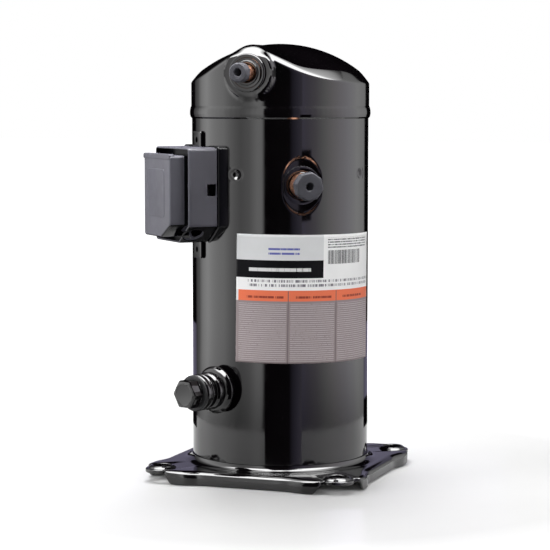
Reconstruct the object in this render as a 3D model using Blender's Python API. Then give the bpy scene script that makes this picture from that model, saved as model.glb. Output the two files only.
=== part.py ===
"""Hermetic scroll compressor: welded steel casing with the motor and the scroll set inside.

The script's own unit is the millimetre, and every mesh is scaled to metres as it is made.
Frame: +Z is up, the origin is on the shell's axis, in the plane that the base stands on.
A bearing angle is measured round the shell from -Y towards +X, seen from above.
"""

import math

import bmesh
import bpy
from mathutils import Matrix, Vector

MM = 0.001          # one millimetre, in metres
GAP = 0.35          # between two pieces that touch
RUNNING = 0.25      # between a journal and its bush
CUT_PHASE = 0.13    # turns a round cutter so that its corners miss the edges of the piece it cuts

# Casing
SHELL_R = 92.5
WALL = 3.0
SHELL_FOOT_Z = 14.7
SHELL_TOP_Z = 377.0
RIM_R = 94.4        # the muffler plate's rim, which shows as the weld seam
RIM_T = 3.6
CAP_R = 93.1
CAP_FOOT_Z = SHELL_TOP_Z + RIM_T + 2 * GAP
CROWN_Z = 450.0
CROWN_R = 135.0
HOOD_Z = 447.6      # ridge over the discharge fitting
HOOD_SLOPE = 0.5
HOOD_PEAK = 12.0    # half-width of the rounded ridge
SHELL_COLUMNS = 48
TURNED = 32         # segments of a large turned piece inside the casing
SMALL = 20          # segments of a small turned piece

# Base plate
PLATE_HALF = 113.0
PLATE_TAB = 117.5
PLATE_TOP_Z = 14.0
PLATE_T = 3.5
SHOULDER_R = 7.0
EAR_TOP_Z = 13.0
EAR_FOOT_Z = 8.5
EAR_R = 17.5
EAR_ROOT_R = 118.0
EAR_LIP = 1.2
BOLT_HALF = 95.25   # half of the 190.5 mm square of mounting holes
BOLT_HOLE_R = 9.5
COLLAR_R = 98.5
COLLAR_Z = 20.0
SEAT_R = 84.0

# Fittings: bearing angle in degrees and height
DISCHARGE = (0.0, 419.0)
SUCTION = (34.0, 306.0)
OIL = (-21.5, 96.5)
TERMINAL = (-45.0, 295.0)
SUCTION_FLAT_W = 89.8
SUCTION_FLAT_HALF_Z = 30.5
PLUG_HOLE_R = 3.7
SPIGOT_LENGTH = 9.0
STUB_T = 1.4
DISCHARGE_PORT_R = 11.2
SMALL_PORT_R = 14.2     # suction and oil ports in the shell
TERMINAL_PORT_R = 24.6
PORT_CUT_W = (70, 110)  # reach of a port's cutter, from the shell's axis
CAP_T = 3.4             # the cap's wall, down from its crown
CAP_SIDE_T = 3.2
SHOULDER_OF_CAP_R = 81.0
LABEL_T = 0.4
LABEL_FROM, LABEL_TO = -9.0, 96.0
LABEL_Z = (125.0, 256.0)

# Terminal box: distances from the shell's axis
BOX_BASE_W = (79.0, 91.0)
COVER_BACK_W = 91.4
COVER_STEP_W = 125.0
COVER_FRONT_W = 140.0
COVER_T = 2.6
BRACKET_W = (93.1, 95.1)

# Motor and shaft
STATOR_Z = (110.0, 230.0)
STATOR_R = 88.9
AIR_GAP_R = 46.4
ROTOR_R = 45.6
SHAFT_R = 12.0
LOWER_JOURNAL_R = 9.0
MAIN_JOURNAL_R = 15.0
PIN_R = 8.0
SLOTS = 24

# Scroll set
ORBIT_R = 5.0
PITCH = 19.0
WRAP_T = 4.0
WRAP_START = 2.6    # involute angle at the inner end, in radians
WRAP_END = 18.2
WRAP_STEPS = 64
WRAP_H = 22.0
ORBIT_FLOOR_Z = 335.3
ORBIT_BASE_T = 8.0
ORBIT_BASE_R = 60.0
RIM_FACE_Z = 343.6
HOUSING_SEAT_Z = 335.0
KEY_RING_Z = (328.0, 333.0)
KEY_RING_R = (47.0, 57.0)
SEAL_Z = 379.4
DISC_Z = (396.0, 398.2)


def clear_scene():
    for obj in list(bpy.data.objects):
        bpy.data.objects.remove(obj, do_unlink=True)


def material(name, colour, roughness, metallic):
    """Principled material, made once for each name."""
    found = bpy.data.materials.get(name)
    if found:
        return found
    made = bpy.data.materials.new(name)
    made.use_nodes = True
    shader = made.node_tree.nodes["Principled BSDF"]
    shader.inputs["Base Color"].default_value = (*colour, 1.0)
    shader.inputs["Roughness"].default_value = roughness
    shader.inputs["Metallic"].default_value = metallic
    made.diffuse_color = (*colour, 1.0)
    return made


BLACK_PAINT = ("black_paint", (0.012, 0.012, 0.014), 0.12, 0.0)
COPPER = ("copper", (0.72, 0.33, 0.19), 0.3, 1.0)
RUBBER = ("grey_rubber", (0.13, 0.13, 0.14), 0.6, 0.0)
BLACK_RUBBER = ("black_rubber", (0.02, 0.02, 0.02), 0.7, 0.0)
BOX_PLASTIC = ("box_plastic", (0.03, 0.03, 0.032), 0.35, 0.0)
BLOCK_PLASTIC = ("block_plastic", (0.05, 0.05, 0.05), 0.5, 0.0)
LABEL = ("label_film", (0.6, 0.6, 0.62), 0.4, 0.0)
CAST_IRON = ("cast_iron", (0.22, 0.21, 0.2), 0.6, 0.9)
STEEL = ("steel", (0.5, 0.5, 0.5), 0.35, 1.0)
LAMINATION = ("lamination", (0.3, 0.31, 0.33), 0.5, 1.0)
WINDING = ("winding", (0.55, 0.2, 0.1), 0.45, 0.6)
BRONZE = ("bronze", (0.6, 0.42, 0.2), 0.4, 1.0)
BRASS = ("brass", (0.75, 0.55, 0.25), 0.3, 1.0)
ALUMINIUM = ("aluminium", (0.75, 0.76, 0.78), 0.4, 1.0)
SEAL_POLYMER = ("seal_polymer", (0.25, 0.18, 0.1), 0.5, 0.0)


def circle(radius, count, centre=(0.0, 0.0), start=0.0):
    return [
        (
            centre[0] + radius * math.cos(start + math.tau * i / count),
            centre[1] + radius * math.sin(start + math.tau * i / count),
        )
        for i in range(count)
    ]


def arc(radius, start_deg, end_deg, steps, centre=(0.0, 0.0)):
    points = []
    for i in range(steps + 1):
        a = math.radians(start_deg + (end_deg - start_deg) * i / steps)
        points.append((centre[0] + radius * math.cos(a), centre[1] + radius * math.sin(a)))
    return points


def new_object(name, bm, finish=None, location=(0, 0, 0), turn=(0, 0, 0), parent=None, sharp=32):
    """Turn a bmesh in millimetres into a named object in metres."""
    bmesh.ops.recalc_face_normals(bm, faces=bm.faces[:])
    bm.transform(Matrix.Scale(MM, 4))
    mesh = bpy.data.meshes.new(name)
    bm.to_mesh(mesh)
    bm.free()
    mesh.shade_smooth()
    mesh.set_sharp_from_angle(angle=math.radians(sharp))
    obj = bpy.data.objects.new(name, mesh)
    bpy.context.scene.collection.objects.link(obj)
    obj.location = [value * MM for value in location]
    obj.rotation_euler = turn
    if parent:
        obj.parent = parent
        obj.location = [value * MM - p for value, p in zip(location, parent.location)]
    if finish:
        mesh.materials.append(material(*finish))
    return obj


def pivot(name, location):
    """An empty that marks a joint's axis."""
    empty = bpy.data.objects.new(name, None)
    empty.empty_display_size = 0.02
    empty.location = [value * MM for value in location]
    bpy.context.scene.collection.objects.link(empty)
    return empty


def loft(rings, wrap=False):
    """Skin closed loops of equal length. The two ends are capped, or joined when wrap is set."""
    bm = bmesh.new()
    loops = [[bm.verts.new(point) for point in ring] for ring in rings]
    pairs = list(zip(loops, loops[1:]))
    if wrap:
        pairs.append((loops[-1], loops[0]))
    for lower, upper in pairs:
        for i in range(len(lower)):
            j = (i + 1) % len(lower)
            bm.faces.new((lower[i], lower[j], upper[j], upper[i]))
    if not wrap:
        bm.faces.new(list(reversed(loops[0])))
        bm.faces.new(loops[-1])
    return bm


def revolve(profile, segments):
    """Turn a closed outline of (radius, height) points round Z. Points at radius 0 lie on the axis."""
    bm = bmesh.new()
    loops = []
    for radius, height in profile:
        if radius == 0:
            loops.append([bm.verts.new((0, 0, height))])
        else:
            loops.append([bm.verts.new((x, y, height)) for x, y in circle(radius, segments)])
    for lower, upper in zip(loops, loops[1:] + loops[:1]):
        for i in range(segments):
            j = (i + 1) % segments
            corners = [lower[i % len(lower)], lower[j % len(lower)]]
            corners += [upper[j % len(upper)], upper[i % len(upper)]]
            unique = list(dict.fromkeys(corners))
            if len(unique) > 2:
                bm.faces.new(unique)
    return bm


def prism(outline, low, high):
    return loft([[(x, y, low) for x, y in outline], [(x, y, high) for x, y in outline]])


def box(low, high):
    outline = [(low[0], low[1]), (high[0], low[1]), (high[0], high[1]), (low[0], high[1])]
    return prism(outline, low[2], high[2])


def combine(obj, tool, operation="DIFFERENCE"):
    """Boolean with a hidden tool object."""
    tool.hide_render = True
    tool.display_type = "WIRE"
    modifier = obj.modifiers.new(tool.name, "BOOLEAN")
    modifier.operation = operation
    modifier.solver = "EXACT"
    modifier.object = tool


def round_cut(obj, name, radius, low, high, location=(0, 0, 0), turn=(0, 0, 0), segments=SMALL):
    outline = circle(radius, segments, start=CUT_PHASE)
    combine(obj, new_object(name, prism(outline, low, high), None, location, turn))


def box_cut(obj, name, low, high, location=(0, 0, 0), turn=(0, 0, 0)):
    combine(obj, new_object(name, box(low, high), None, location, turn))


def outward(angle_deg):
    """Rotation that turns local +Z to the shell's outward direction, local Y staying up."""
    return (math.radians(90), 0.0, math.radians(angle_deg))


def fitting(name, profile, place, finish, segments=SMALL, parent=None):
    """A turned piece on a radial axis. Its profile heights are distances from the shell's axis."""
    angle, height = place
    return new_object(name, revolve(profile, segments), finish, (0, 0, height), outward(angle), parent)


# ---------------------------------------------------------------- base plate


def plate_octant():
    """Outline of one eighth of the base plate, as (x, y, lowest z, shoulder radius, top z)."""
    side = [(PLATE_HALF, y, 0.0, SHOULDER_R, PLATE_TOP_Z) for y in (0.0, 16.0, 31.0, 46.0)]
    side += [
        (PLATE_TAB - 1.5, 58.0, 0.0, SHOULDER_R, PLATE_TOP_Z),
        (PLATE_TAB, 66.0, 0.0, SHOULDER_R - 1, PLATE_TOP_Z),
        (PLATE_TAB, 76.0, 0.0, SHOULDER_R - 2, PLATE_TOP_Z),
        (PLATE_TAB - 0.4, 81.0, 4.5, 4.0, PLATE_TOP_Z - 0.2),
        (PLATE_TAB - 2.0, 84.2, EAR_FOOT_Z, 2.5, PLATE_TOP_Z - 0.4),
        (PLATE_TAB - 7.7, 86.2, EAR_FOOT_Z, 2.0, PLATE_TOP_Z - 0.8),
    ]
    ear = arc(EAR_R, -24, 45, 3, (BOLT_HALF, BOLT_HALF))
    return side + [(x, y, EAR_FOOT_Z, 1.5, EAR_TOP_Z) for x, y in ear]


def plate_outline():
    """The whole outline, counter-clockwise from +X: an octant and its mirror image, four times."""
    octant = plate_octant()
    mirror = [(y, x, *rest) for x, y, *rest in reversed(octant[1:-1])]
    quarter = octant + mirror
    points = []
    for turn in range(4):
        c, s = [(1, 0), (0, 1), (-1, 0), (0, -1)][turn]
        points += [(x * c - y * s, x * s + y * c, *rest) for x, y, *rest in quarter]
    return points


def inset(points, distance):
    """Move each point of a counter-clockwise outline inwards, square to its neighbours' chord."""
    moved = []
    for i, (x, y) in enumerate(points):
        ahead = points[(i + 1) % len(points)]
        behind = points[i - 1]
        tx, ty = ahead[0] - behind[0], ahead[1] - behind[1]
        length = math.hypot(tx, ty)
        moved.append((x - distance[i] * ty / length, y + distance[i] * tx / length))
    return moved


def base_plate():
    outline = plate_outline()
    flat = [(x, y) for x, y, *_ in outline]
    foot = [p[2] for p in outline]
    shoulder = [p[3] for p in outline]
    top = [p[4] for p in outline]
    bearings = [math.atan2(y, x) for x, y in flat]

    def ring(offsets, heights):
        return [(x, y, z) for (x, y), z in zip(inset(flat, offsets), heights)]

    def round_ring(radius, height):
        return [(radius * math.cos(b), radius * math.sin(b), height) for b in bearings]

    rings = [ring([0.0] * len(flat), foot)]
    for turn in (0, 45, 90):
        rise = 1 - math.sin(math.radians(turn))
        run = 1 - math.cos(math.radians(turn))
        rings.append(ring([r * run for r in shoulder], [t - r * rise for t, r in zip(top, shoulder)]))
    under = [t - PLATE_T for t in top]
    lip = [min(u, max(z, 6.0)) for u, z in zip(under, foot)]

    def root_ring(heights):
        """Where the flat ears meet the raised middle: square along the sides, round across the ears."""
        drawn = inset(flat, [9.0] * len(flat))
        arcs = [(EAR_ROOT_R * math.cos(b), EAR_ROOT_R * math.sin(b)) for b in bearings]
        chosen = [a if z >= EAR_FOOT_Z else d for a, d, z in zip(arcs, drawn, foot)]
        return [(x, y, h) for (x, y), h in zip(chosen, heights)]

    rings += [
        root_ring(top),
        round_ring(COLLAR_R, PLATE_TOP_Z),
        round_ring(SHELL_R + 1.6, COLLAR_Z),
        round_ring(SHELL_R + 2 * GAP, COLLAR_Z),
        round_ring(SHELL_R + 2 * GAP, PLATE_TOP_Z + 0.2),
        round_ring(SEAT_R, PLATE_TOP_Z + 0.2),
        round_ring(SEAT_R, PLATE_TOP_Z + 0.2 - PLATE_T),
        root_ring(under),
        ring([max(PLATE_T, r) for r in shoulder], under),
        ring([PLATE_T if z < EAR_FOOT_Z else EAR_LIP for z in foot], lip),
        ring([PLATE_T if z < EAR_FOOT_Z else EAR_LIP - 0.3 for z in foot], foot),
    ]
    plate = new_object("base_plate", loft(rings, wrap=True), BLACK_PAINT)
    for i, (sx, sy) in enumerate([(1, 1), (-1, 1), (-1, -1), (1, -1)]):
        place = (sx * BOLT_HALF, sy * BOLT_HALF, 0)
        round_cut(plate, f"cut_bolt_hole_{i + 1}", BOLT_HOLE_R, -5, 25, place)


# ---------------------------------------------------------------- casing


def bottom_cap():
    inner_r = SHELL_R - WALL - GAP - 0.1
    profile = [
        (0, 0), (52, 0), (70, 3.4), (80, 8.2), (SEAT_R - 1, 12.5), (SEAT_R - 1, 14.6),
        (inner_r - 1.5, 19), (inner_r, 24), (inner_r, 45),
        (inner_r - 3.2, 45), (inner_r - 3.2, 25), (inner_r - 5, 21), (80.3, 16), (77.6, 11.4),
        (68.8, 6.7), (51.5, 3.2), (0, 3.2),
    ]
    new_object("bottom_cap", revolve(profile, 40), BLACK_PAINT)


def suction_flat(x, y, z, radius, depth):
    """Radius of the shell at a point, pressed flat round the suction fitting."""
    angle, height = SUCTION
    b = math.radians(angle)
    along = x * math.sin(b) - y * math.cos(b)
    flat_w = SUCTION_FLAT_W - depth
    rise = (z - height) / SUCTION_FLAT_HALF_Z
    if along <= flat_w or abs(rise) >= 1:
        return radius
    return radius * flat_w / along


def shell_tube():
    """Tube with a pressed flat at the suction fitting, and a hole for each fitting."""
    mid = SUCTION[1]
    far, near = SUCTION_FLAT_HALF_Z, 22
    heights = [SHELL_FOOT_Z, mid - far, mid - near, mid, mid + near, mid + far, SHELL_TOP_Z]
    start = math.radians(SUCTION[0] - 90)

    def ring(radius, depth, z):
        points = circle(radius, SHELL_COLUMNS, start=start)
        scaled = []
        for x, y in points:
            k = suction_flat(x, y, z, radius, depth) / radius
            scaled.append((x * k, y * k, z))
        return scaled

    outer = [ring(SHELL_R, 0, z) for z in heights]
    inner = [ring(SHELL_R - WALL, WALL, z) for z in reversed(heights)]
    tube = new_object("shell_tube", loft(outer + inner, wrap=True), BLACK_PAINT)
    holes = (
        ("suction", SUCTION, SMALL_PORT_R), ("oil", OIL, SMALL_PORT_R),
        ("terminal", TERMINAL, TERMINAL_PORT_R),
    )
    for name, (angle, height), radius in holes:
        round_cut(tube, f"cut_{name}_port", radius, *PORT_CUT_W, (0, 0, height), outward(angle))


def muffler_plate():
    top = SHELL_TOP_Z + GAP + RIM_T
    profile = [
        (RIM_R, SHELL_TOP_Z + GAP), (RIM_R, top), (83, top), (80, top + 3), (77, 393), (73, 395.6),
        (21, 395.6), (21, 392), (71, 392), (73.5, 390.5), (77, top - 3), (80, SHELL_TOP_Z + GAP),
    ]
    new_object("muffler_plate", revolve(profile, 40), CAST_IRON)


def crown(x, y):
    """Height of the cap's outside at a plan point: the larger of the dome and the hood."""
    r = math.hypot(x, y)
    dome = CROWN_Z - CROWN_R + math.sqrt(CROWN_R**2 - r**2)
    b = math.radians(DISCHARGE[0])
    along = x * math.sin(b) - y * math.cos(b)
    side = abs(x * math.cos(b) + y * math.sin(b))
    off = side if along > 0 else r
    if off < HOOD_PEAK:
        fall = HOOD_SLOPE * off**2 / (2 * HOOD_PEAK)
    else:
        fall = HOOD_SLOPE * (off - HOOD_PEAK / 2)
    return max(dome, HOOD_Z - fall)


def top_cap():
    """Domed cap with a hood over the discharge fitting. Each column runs from the crown to the rim."""
    columns = 48
    radii = [22, 44, 64, SHOULDER_OF_CAP_R, 87.5, 91.6]

    def column(bearing, shrink, drop):
        """Points of one column, drawn in by shrink and down by drop for the inside."""
        ux, uy = math.cos(bearing), math.sin(bearing)
        rim = crown(CAP_R * ux, CAP_R * uy)
        base = rim - 5 - 9 * min(1.0, max(0.0, (rim - 414) / 20))
        points = []
        for r in radii:
            z = crown(r * ux, r * uy)
            if r > SHOULDER_OF_CAP_R:
                share = (r - SHOULDER_OF_CAP_R) / (CAP_R - SHOULDER_OF_CAP_R)
                bend = math.sqrt(1 - share**2)
                z = base + (z - base) * bend
            points.append((r, z))
        points += [(CAP_R, base), (CAP_R, CAP_FOOT_Z)]
        k = (CAP_R - shrink) / CAP_R
        return [(r * k * ux, r * k * uy, z - drop if z > CAP_FOOT_Z else z) for r, z in points]

    bearings = [math.tau * i / columns for i in range(columns)]
    outer = [column(b, 0.0, 0.0) for b in bearings]
    inner = [column(b, CAP_SIDE_T, CAP_T) for b in bearings]
    bm = bmesh.new()
    skins = []
    for skin, peak in ((outer, CROWN_Z), (inner, CROWN_Z - CAP_T)):
        top = bm.verts.new((0, 0, peak))
        verts = [[bm.verts.new(p) for p in col] for col in skin]
        for i, col in enumerate(verts):
            ahead = verts[(i + 1) % columns]
            bm.faces.new((top, col[0], ahead[0]))
            for k in range(len(col) - 1):
                bm.faces.new((col[k], col[k + 1], ahead[k + 1], ahead[k]))
        skins.append(verts)
    for i in range(columns):
        j = (i + 1) % columns
        bm.faces.new((skins[0][i][-1], skins[1][i][-1], skins[1][j][-1], skins[0][j][-1]))
    cap = new_object("top_cap", bm, BLACK_PAINT)
    place = {"location": (0, 0, DISCHARGE[1]), "turn": outward(DISCHARGE[0])}
    round_cut(cap, "cut_discharge_port", DISCHARGE_PORT_R, *PORT_CUT_W, **place)


def label():
    steps = 21
    low, high = LABEL_Z
    inner = SHELL_R + GAP
    outer = inner + LABEL_T
    rings = []
    for i in range(steps + 1):
        b = math.radians(LABEL_FROM + (LABEL_TO - LABEL_FROM) * i / steps)
        dx, dy = math.sin(b), -math.cos(b)
        corners = ((inner, low), (outer, low), (outer, high), (inner, high))
        rings.append([(r * dx, r * dy, z) for r, z in corners])
    new_object("nameplate_label", loft(rings), LABEL)


# ---------------------------------------------------------------- refrigerant and oil fittings


def tube_set(prefix, place, seat, collar_r, tube_r, tube_end, plug_r, plug_end, neck_in):
    """Welded collar, copper stub and rubber shipping plug on one radial axis."""
    neck_r = tube_r + 2.0
    collar = [
        (tube_r + GAP, neck_in), (neck_r, neck_in), (neck_r, seat), (collar_r, seat),
        (collar_r, seat + 4), (collar_r - 2.5, seat + 7), (tube_r + 3.5, seat + 8.5),
        (tube_r + 2.0, seat + 11), (tube_r + GAP, seat + 11),
    ]
    fitting(f"{prefix}_collar", collar, place, BLACK_PAINT)
    bore = tube_r - STUB_T
    stub = [(bore, neck_in - 2), (tube_r, neck_in - 2), (tube_r, tube_end), (bore, tube_end)]
    fitting(f"{prefix}_stub", stub, place, COPPER)
    face = tube_end + GAP
    plug = [
        (PLUG_HOLE_R, face - SPIGOT_LENGTH), (bore - 0.5, face - SPIGOT_LENGTH), (bore - 0.5, face),
        (plug_r - 1, face),
        (plug_r, face + 1.2), (plug_r, plug_end - 1.5), (plug_r - 1.5, plug_end),
        (PLUG_HOLE_R, plug_end),
    ]
    axis = pivot(f"{prefix}_plug_axis", (0, 0, place[1]))
    fitting(f"{prefix}_plug", plug, place, RUBBER, parent=axis)


def oil_fitting():
    """Oil port: welded flange, adapter, sealing ring and hex plug."""
    seat, lip = 93.2, 98.0
    flange = [
        (11, 89.2), (13.8, 89.2), (13.8, seat), (15.2, seat), (15.2, lip), (24.3, lip), (24.3, lip + 4.2),
        (20.8, lip + 8.2), (11, lip + 8.2),
    ]
    fitting("oil_flange", flange, OIL, BLACK_PAINT)
    start = lip + 8.2 + GAP
    sleeve = [
        (7, 88), (10.6, 88), (10.6, start), (19.2, start), (19.2, start + 7), (17.8, start + 9),
        (14.5, start + 9), (14.5, start + 12), (18.5, start + 13), (18.5, start + 22.5),
        (17.5, start + 23.5), (13, start + 23.5), (13, start + 26.7), (7, start + 26.7),
    ]
    fitting("oil_adapter", sleeve, OIL, BLACK_PAINT)
    ring_at = start + 23.5 + GAP
    ring = [(13.4, ring_at), (18.5, ring_at), (18.5, ring_at + 2.7), (13.4, ring_at + 2.7)]
    fitting("oil_seal_ring", ring, OIL, BLACK_RUBBER)
    head_at = start + 26.7 + GAP
    head_t, across = 13.3, 15.6
    angle, height = OIL
    hexagon = [
        [(x, y, w) for x, y in circle(r, 6)]
        for r, w in ((across, head_at), (across, head_at + head_t - 1.7), (across - 1.6, head_at + head_t))
    ]
    place = {"location": (0, 0, height), "turn": outward(angle)}
    plug = new_object("oil_plug", loft(hexagon), BLACK_PAINT, **place)
    stem = new_object("plug_stem", prism(circle(6.6, 20), 92, head_at + 2), None, **place)
    combine(plug, stem, "UNION")


# ---------------------------------------------------------------- terminal box


def chamfered(half_w, low, high, cut_u, cut_z, corner):
    """Upright outline in (across, up): small corners, and a large slant at the lower right one."""
    return [
        (-half_w + corner, low), (half_w - cut_u, low), (half_w, low + cut_z), (half_w, high - corner),
        (half_w - corner, high), (-half_w + corner, high), (-half_w, high - corner),
        (-half_w, low + corner),
    ]


def shrink(outline, amount, centre):
    """Scale an outline towards its centre so that each side moves in by about the amount."""
    half_u = max(abs(u - centre[0]) for u, _ in outline)
    half_v = max(abs(v - centre[1]) for _, v in outline)
    ku = (half_u - amount) / half_u
    kv = (half_v - amount) / half_v
    return [(centre[0] + (u - centre[0]) * ku, centre[1] + (v - centre[1]) * kv) for u, v in outline]


def terminal_parts():
    angle, height = TERMINAL
    place = {"location": (0, 0, height), "turn": outward(angle)}

    feed = [(0, 84), (24.2, 84), (24.2, 93.6), (20, 95), (0, 95)]
    feedthrough = new_object("terminal_feedthrough", revolve(feed, 24), CAST_IRON, **place)
    block = new_object("terminal_block", revolve([(0, 98.6), (17, 98.6), (17, 106), (0, 106)], 24),
                       BLOCK_PLASTIC, **place)
    for i in range(3):
        a = math.radians(90 + 120 * i)
        u, v = 9 * math.cos(a), 9 * math.sin(a)
        pin_place = (u * math.cos(math.radians(angle)), u * math.sin(math.radians(angle)), height + v)
        new_object(f"terminal_pin_{i + 1}", prism(circle(2.4, 12), 76, 112), BRASS, pin_place, outward(angle))
        for owner in (feedthrough, block):
            round_cut(owner, f"cut_{owner.name}_{i + 1}", 2.8, 70, 120, pin_place, outward(angle), 12)

    for name, low, high in (("box_bracket_upper", 27, 65), ("box_bracket_lower", -66, -27)):
        new_object(name, box((-10.5, low, BRACKET_W[0]), (10.5, high, BRACKET_W[1])), BLACK_PAINT, **place)

    skirt = chamfered(46.5, -50.2, 50.5, 26, 18, 4)
    tongue = chamfered(41.6, -45.2, 45.5, 24, 16.4, 3)
    base = new_object("terminal_box_base", prism(skirt, *BOX_BASE_W), BOX_PLASTIC, **place)
    neck = new_object("base_neck", prism(tongue, 85, 98), None, **place)
    combine(base, neck, "UNION")
    inside = chamfered(38.8, -42.4, 42.7, 23, 14, 2)
    combine(base, new_object("cut_base_hollow", prism(inside, 70, 95.5), None, **place))
    box_cut(base, "cut_bracket_notch", (-11, -70, 70), (11, 70, 95.5), **place)
    round_cut(base, "cut_terminal_window", 25.2, 90, 110, **place)
    seat = new_object("cut_shell_seat", prism(circle(SHELL_R + 0.8, 72), 200, 400), None)
    combine(base, seat)

    gasket = [(25.6, 98.4), (33, 98.4), (33, 100.4), (25.6, 100.4)]
    new_object("terminal_gasket", revolve(gasket, 24), BLACK_RUBBER, **place)
    screw = [(0, 98.4), (3.4, 98.4), (3.4, 101), (2.6, 102), (0, 102)]
    screw_u, screw_v = -31.0, 36.0
    c, s = math.cos(math.radians(angle)), math.sin(math.radians(angle))
    new_object("ground_screw", revolve(screw, 12), BRASS, (screw_u * c, screw_u * s, height + screw_v),
               outward(angle))

    terminal_cover(place)


def terminal_cover(place):
    """Two-step cover, open at the back, with a conduit hole in its slanted underside."""
    axis = pivot("terminal_cover_axis", (0, 0, TERMINAL[1]))
    slant_u, slant_z = 26.0, 18.0
    rear = chamfered(45, -48.5, 48.8, slant_u, slant_z, 3)
    front = chamfered(34, -42.5, 41.3, 25, 13.3, 3)
    front_mid = (0, -0.6)
    edge = shrink(front, 1.6, front_mid)
    step, face = COVER_STEP_W, COVER_FRONT_W
    rings = [
        (rear, COVER_BACK_W), (rear, step - 1.8), (shrink(rear, 1.8, (0, 0)), step), (front, step),
        (front, face - 1.6), (edge, face),
    ]
    bm = loft([[(u, v, w) for u, v in outline] for outline, w in rings])
    cover = new_object("terminal_box_cover", bm, BOX_PLASTIC, parent=axis, **place)
    inner_rear = shrink(rear, COVER_T, (0, 0))
    inner_front = shrink(front, COVER_T, front_mid)
    inner_rings = [
        (inner_rear, COVER_BACK_W - 2), (inner_rear, step - COVER_T),
        (inner_front, step - COVER_T + 0.01), (inner_front, face - COVER_T),
    ]
    hollow = loft([[(u, v, w) for u, v in outline] for outline, w in inner_rings])
    combine(cover, new_object("cut_cover_hollow", hollow, None, **place))
    slope = math.atan2(slant_z, slant_u)
    angle = math.radians(TERMINAL[0])
    hole_u, hole_v, hole_w = 32.0, -39.5, 112.5
    spot = Vector((
        hole_u * math.cos(angle) + hole_w * math.sin(angle),
        hole_u * math.sin(angle) - hole_w * math.cos(angle),
        TERMINAL[1] + hole_v,
    ))
    lean = Matrix.Rotation(angle, 3, "Z") @ Matrix.Rotation(-slope, 3, "Y")
    round_cut(cover, "cut_conduit", 10.5, -9, 9, tuple(spot), lean.to_euler(), 20)
    box_cut(cover, "cut_bracket_slot", (-17, -60, 88), (17, 60, 95.6), **place)
    box_cut(cover, "cut_latch_window", (44, 0, 92.5), (60, 12, 102.5), **place)


# ---------------------------------------------------------------- motor


def stator_core():
    """Lamination stack: a ring whose bore has open slots for the windings."""
    per_slot = 4
    count = SLOTS * per_slot
    outer = circle(STATOR_R, count)
    inner = []
    for i in range(count):
        deep = (i % per_slot) in (1, 2)
        a = math.tau * i / count
        r = 60.0 if deep else AIR_GAP_R
        inner.append((r * math.cos(a), r * math.sin(a)))
    low, high = STATOR_Z
    rings = []
    for outline, z in ((outer, low), (outer, high), (inner, high), (inner, low)):
        rings.append([(x, y, z) for x, y in outline])
    new_object("stator_core", loft(rings, wrap=True), LAMINATION, sharp=20)


def winding(name, low, high):
    """Laced end turns: a ring of rounded section."""
    mid_r, half_r = 68.0, 11.5
    mid_z, half_z = (low + high) / 2, (high - low) / 2
    profile = []
    for i in range(8):
        a = math.tau * i / 8
        profile.append((mid_r + half_r * math.cos(a), mid_z + half_z * math.sin(a)))
    new_object(name, revolve(profile, TURNED), WINDING)


def half_ring(name, inner_r, outer_r, low, high, start_deg, parent):
    """Counterweight that covers half a turn."""
    outer = arc(outer_r, start_deg, start_deg + 180, 12)
    inner = arc(inner_r, start_deg + 180, start_deg, 12)
    new_object(name, prism(outer + inner, low, high), STEEL, parent=parent)


def motor(axis):
    stator_core()
    winding("winding_lower", STATOR_Z[0] - 25, STATOR_Z[0] - 1)
    winding("winding_upper", STATOR_Z[1] + 1, STATOR_Z[1] + 25)
    low, high = STATOR_Z[0] + 2, STATOR_Z[1] - 2
    bore = SHAFT_R + GAP
    core = [(bore, low), (ROTOR_R, low), (ROTOR_R, high), (bore, high)]
    new_object("rotor_core", revolve(core, 40), LAMINATION, parent=axis)
    half_ring("counterweight_upper", SHAFT_R + 1.5, 43, high + GAP, high + 18, 90, axis)
    half_ring("counterweight_lower", SHAFT_R + 1.5, 43, low - 18, low - GAP, -90, axis)


# ---------------------------------------------------------------- shaft and bearings


def crankshaft(axis):
    profile = [
        (0, 50), (LOWER_JOURNAL_R, 50), (LOWER_JOURNAL_R, 80), (SHAFT_R, 82), (SHAFT_R, 268),
        (MAIN_JOURNAL_R, 270), (MAIN_JOURNAL_R, 310), (0, 310),
    ]
    shaft = new_object("crankshaft", revolve(profile, 24), STEEL, parent=axis)
    pin = new_object("crank_pin", prism(circle(PIN_R, 24), 305, 332), None, (ORBIT_R, 0, 0))
    combine(shaft, pin, "UNION")
    bush = [(PIN_R + GAP, 313.5), (11.2, 313.5), (11.2, 332), (PIN_R + GAP, 332)]
    new_object("drive_bush", revolve(bush, 24), BRONZE, (ORBIT_R, 0, 0), parent=axis)
    pickup = [(3, 30), (5, 30), (LOWER_JOURNAL_R, 40), (LOWER_JOURNAL_R, 49.6), (6, 49.6), (6, 42)]
    new_object("oil_pickup", revolve(pickup, 20), STEEL, parent=axis)


def lower_bearing():
    """Spider that carries the lower bearing, with windows for the oil to drain."""
    profile = [
        (11.5, 56), (18, 56), (20, 63), (STATOR_R, 63), (STATOR_R, 70), (20, 70), (18, 77), (11.5, 77),
    ]
    spider = new_object("lower_bearing_housing", revolve(profile, TURNED), CAST_IRON)
    for i, centre in enumerate(circle(53, 6)):
        round_cut(spider, f"cut_window_{i + 1}", 17, 50, 80, (*centre, 0), segments=10)
    inner = LOWER_JOURNAL_R + RUNNING
    bush = [(inner, 56), (11.1, 56), (11.1, 77), (inner, 77)]
    new_object("lower_bearing_bush", revolve(bush, 24), BRONZE)


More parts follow.
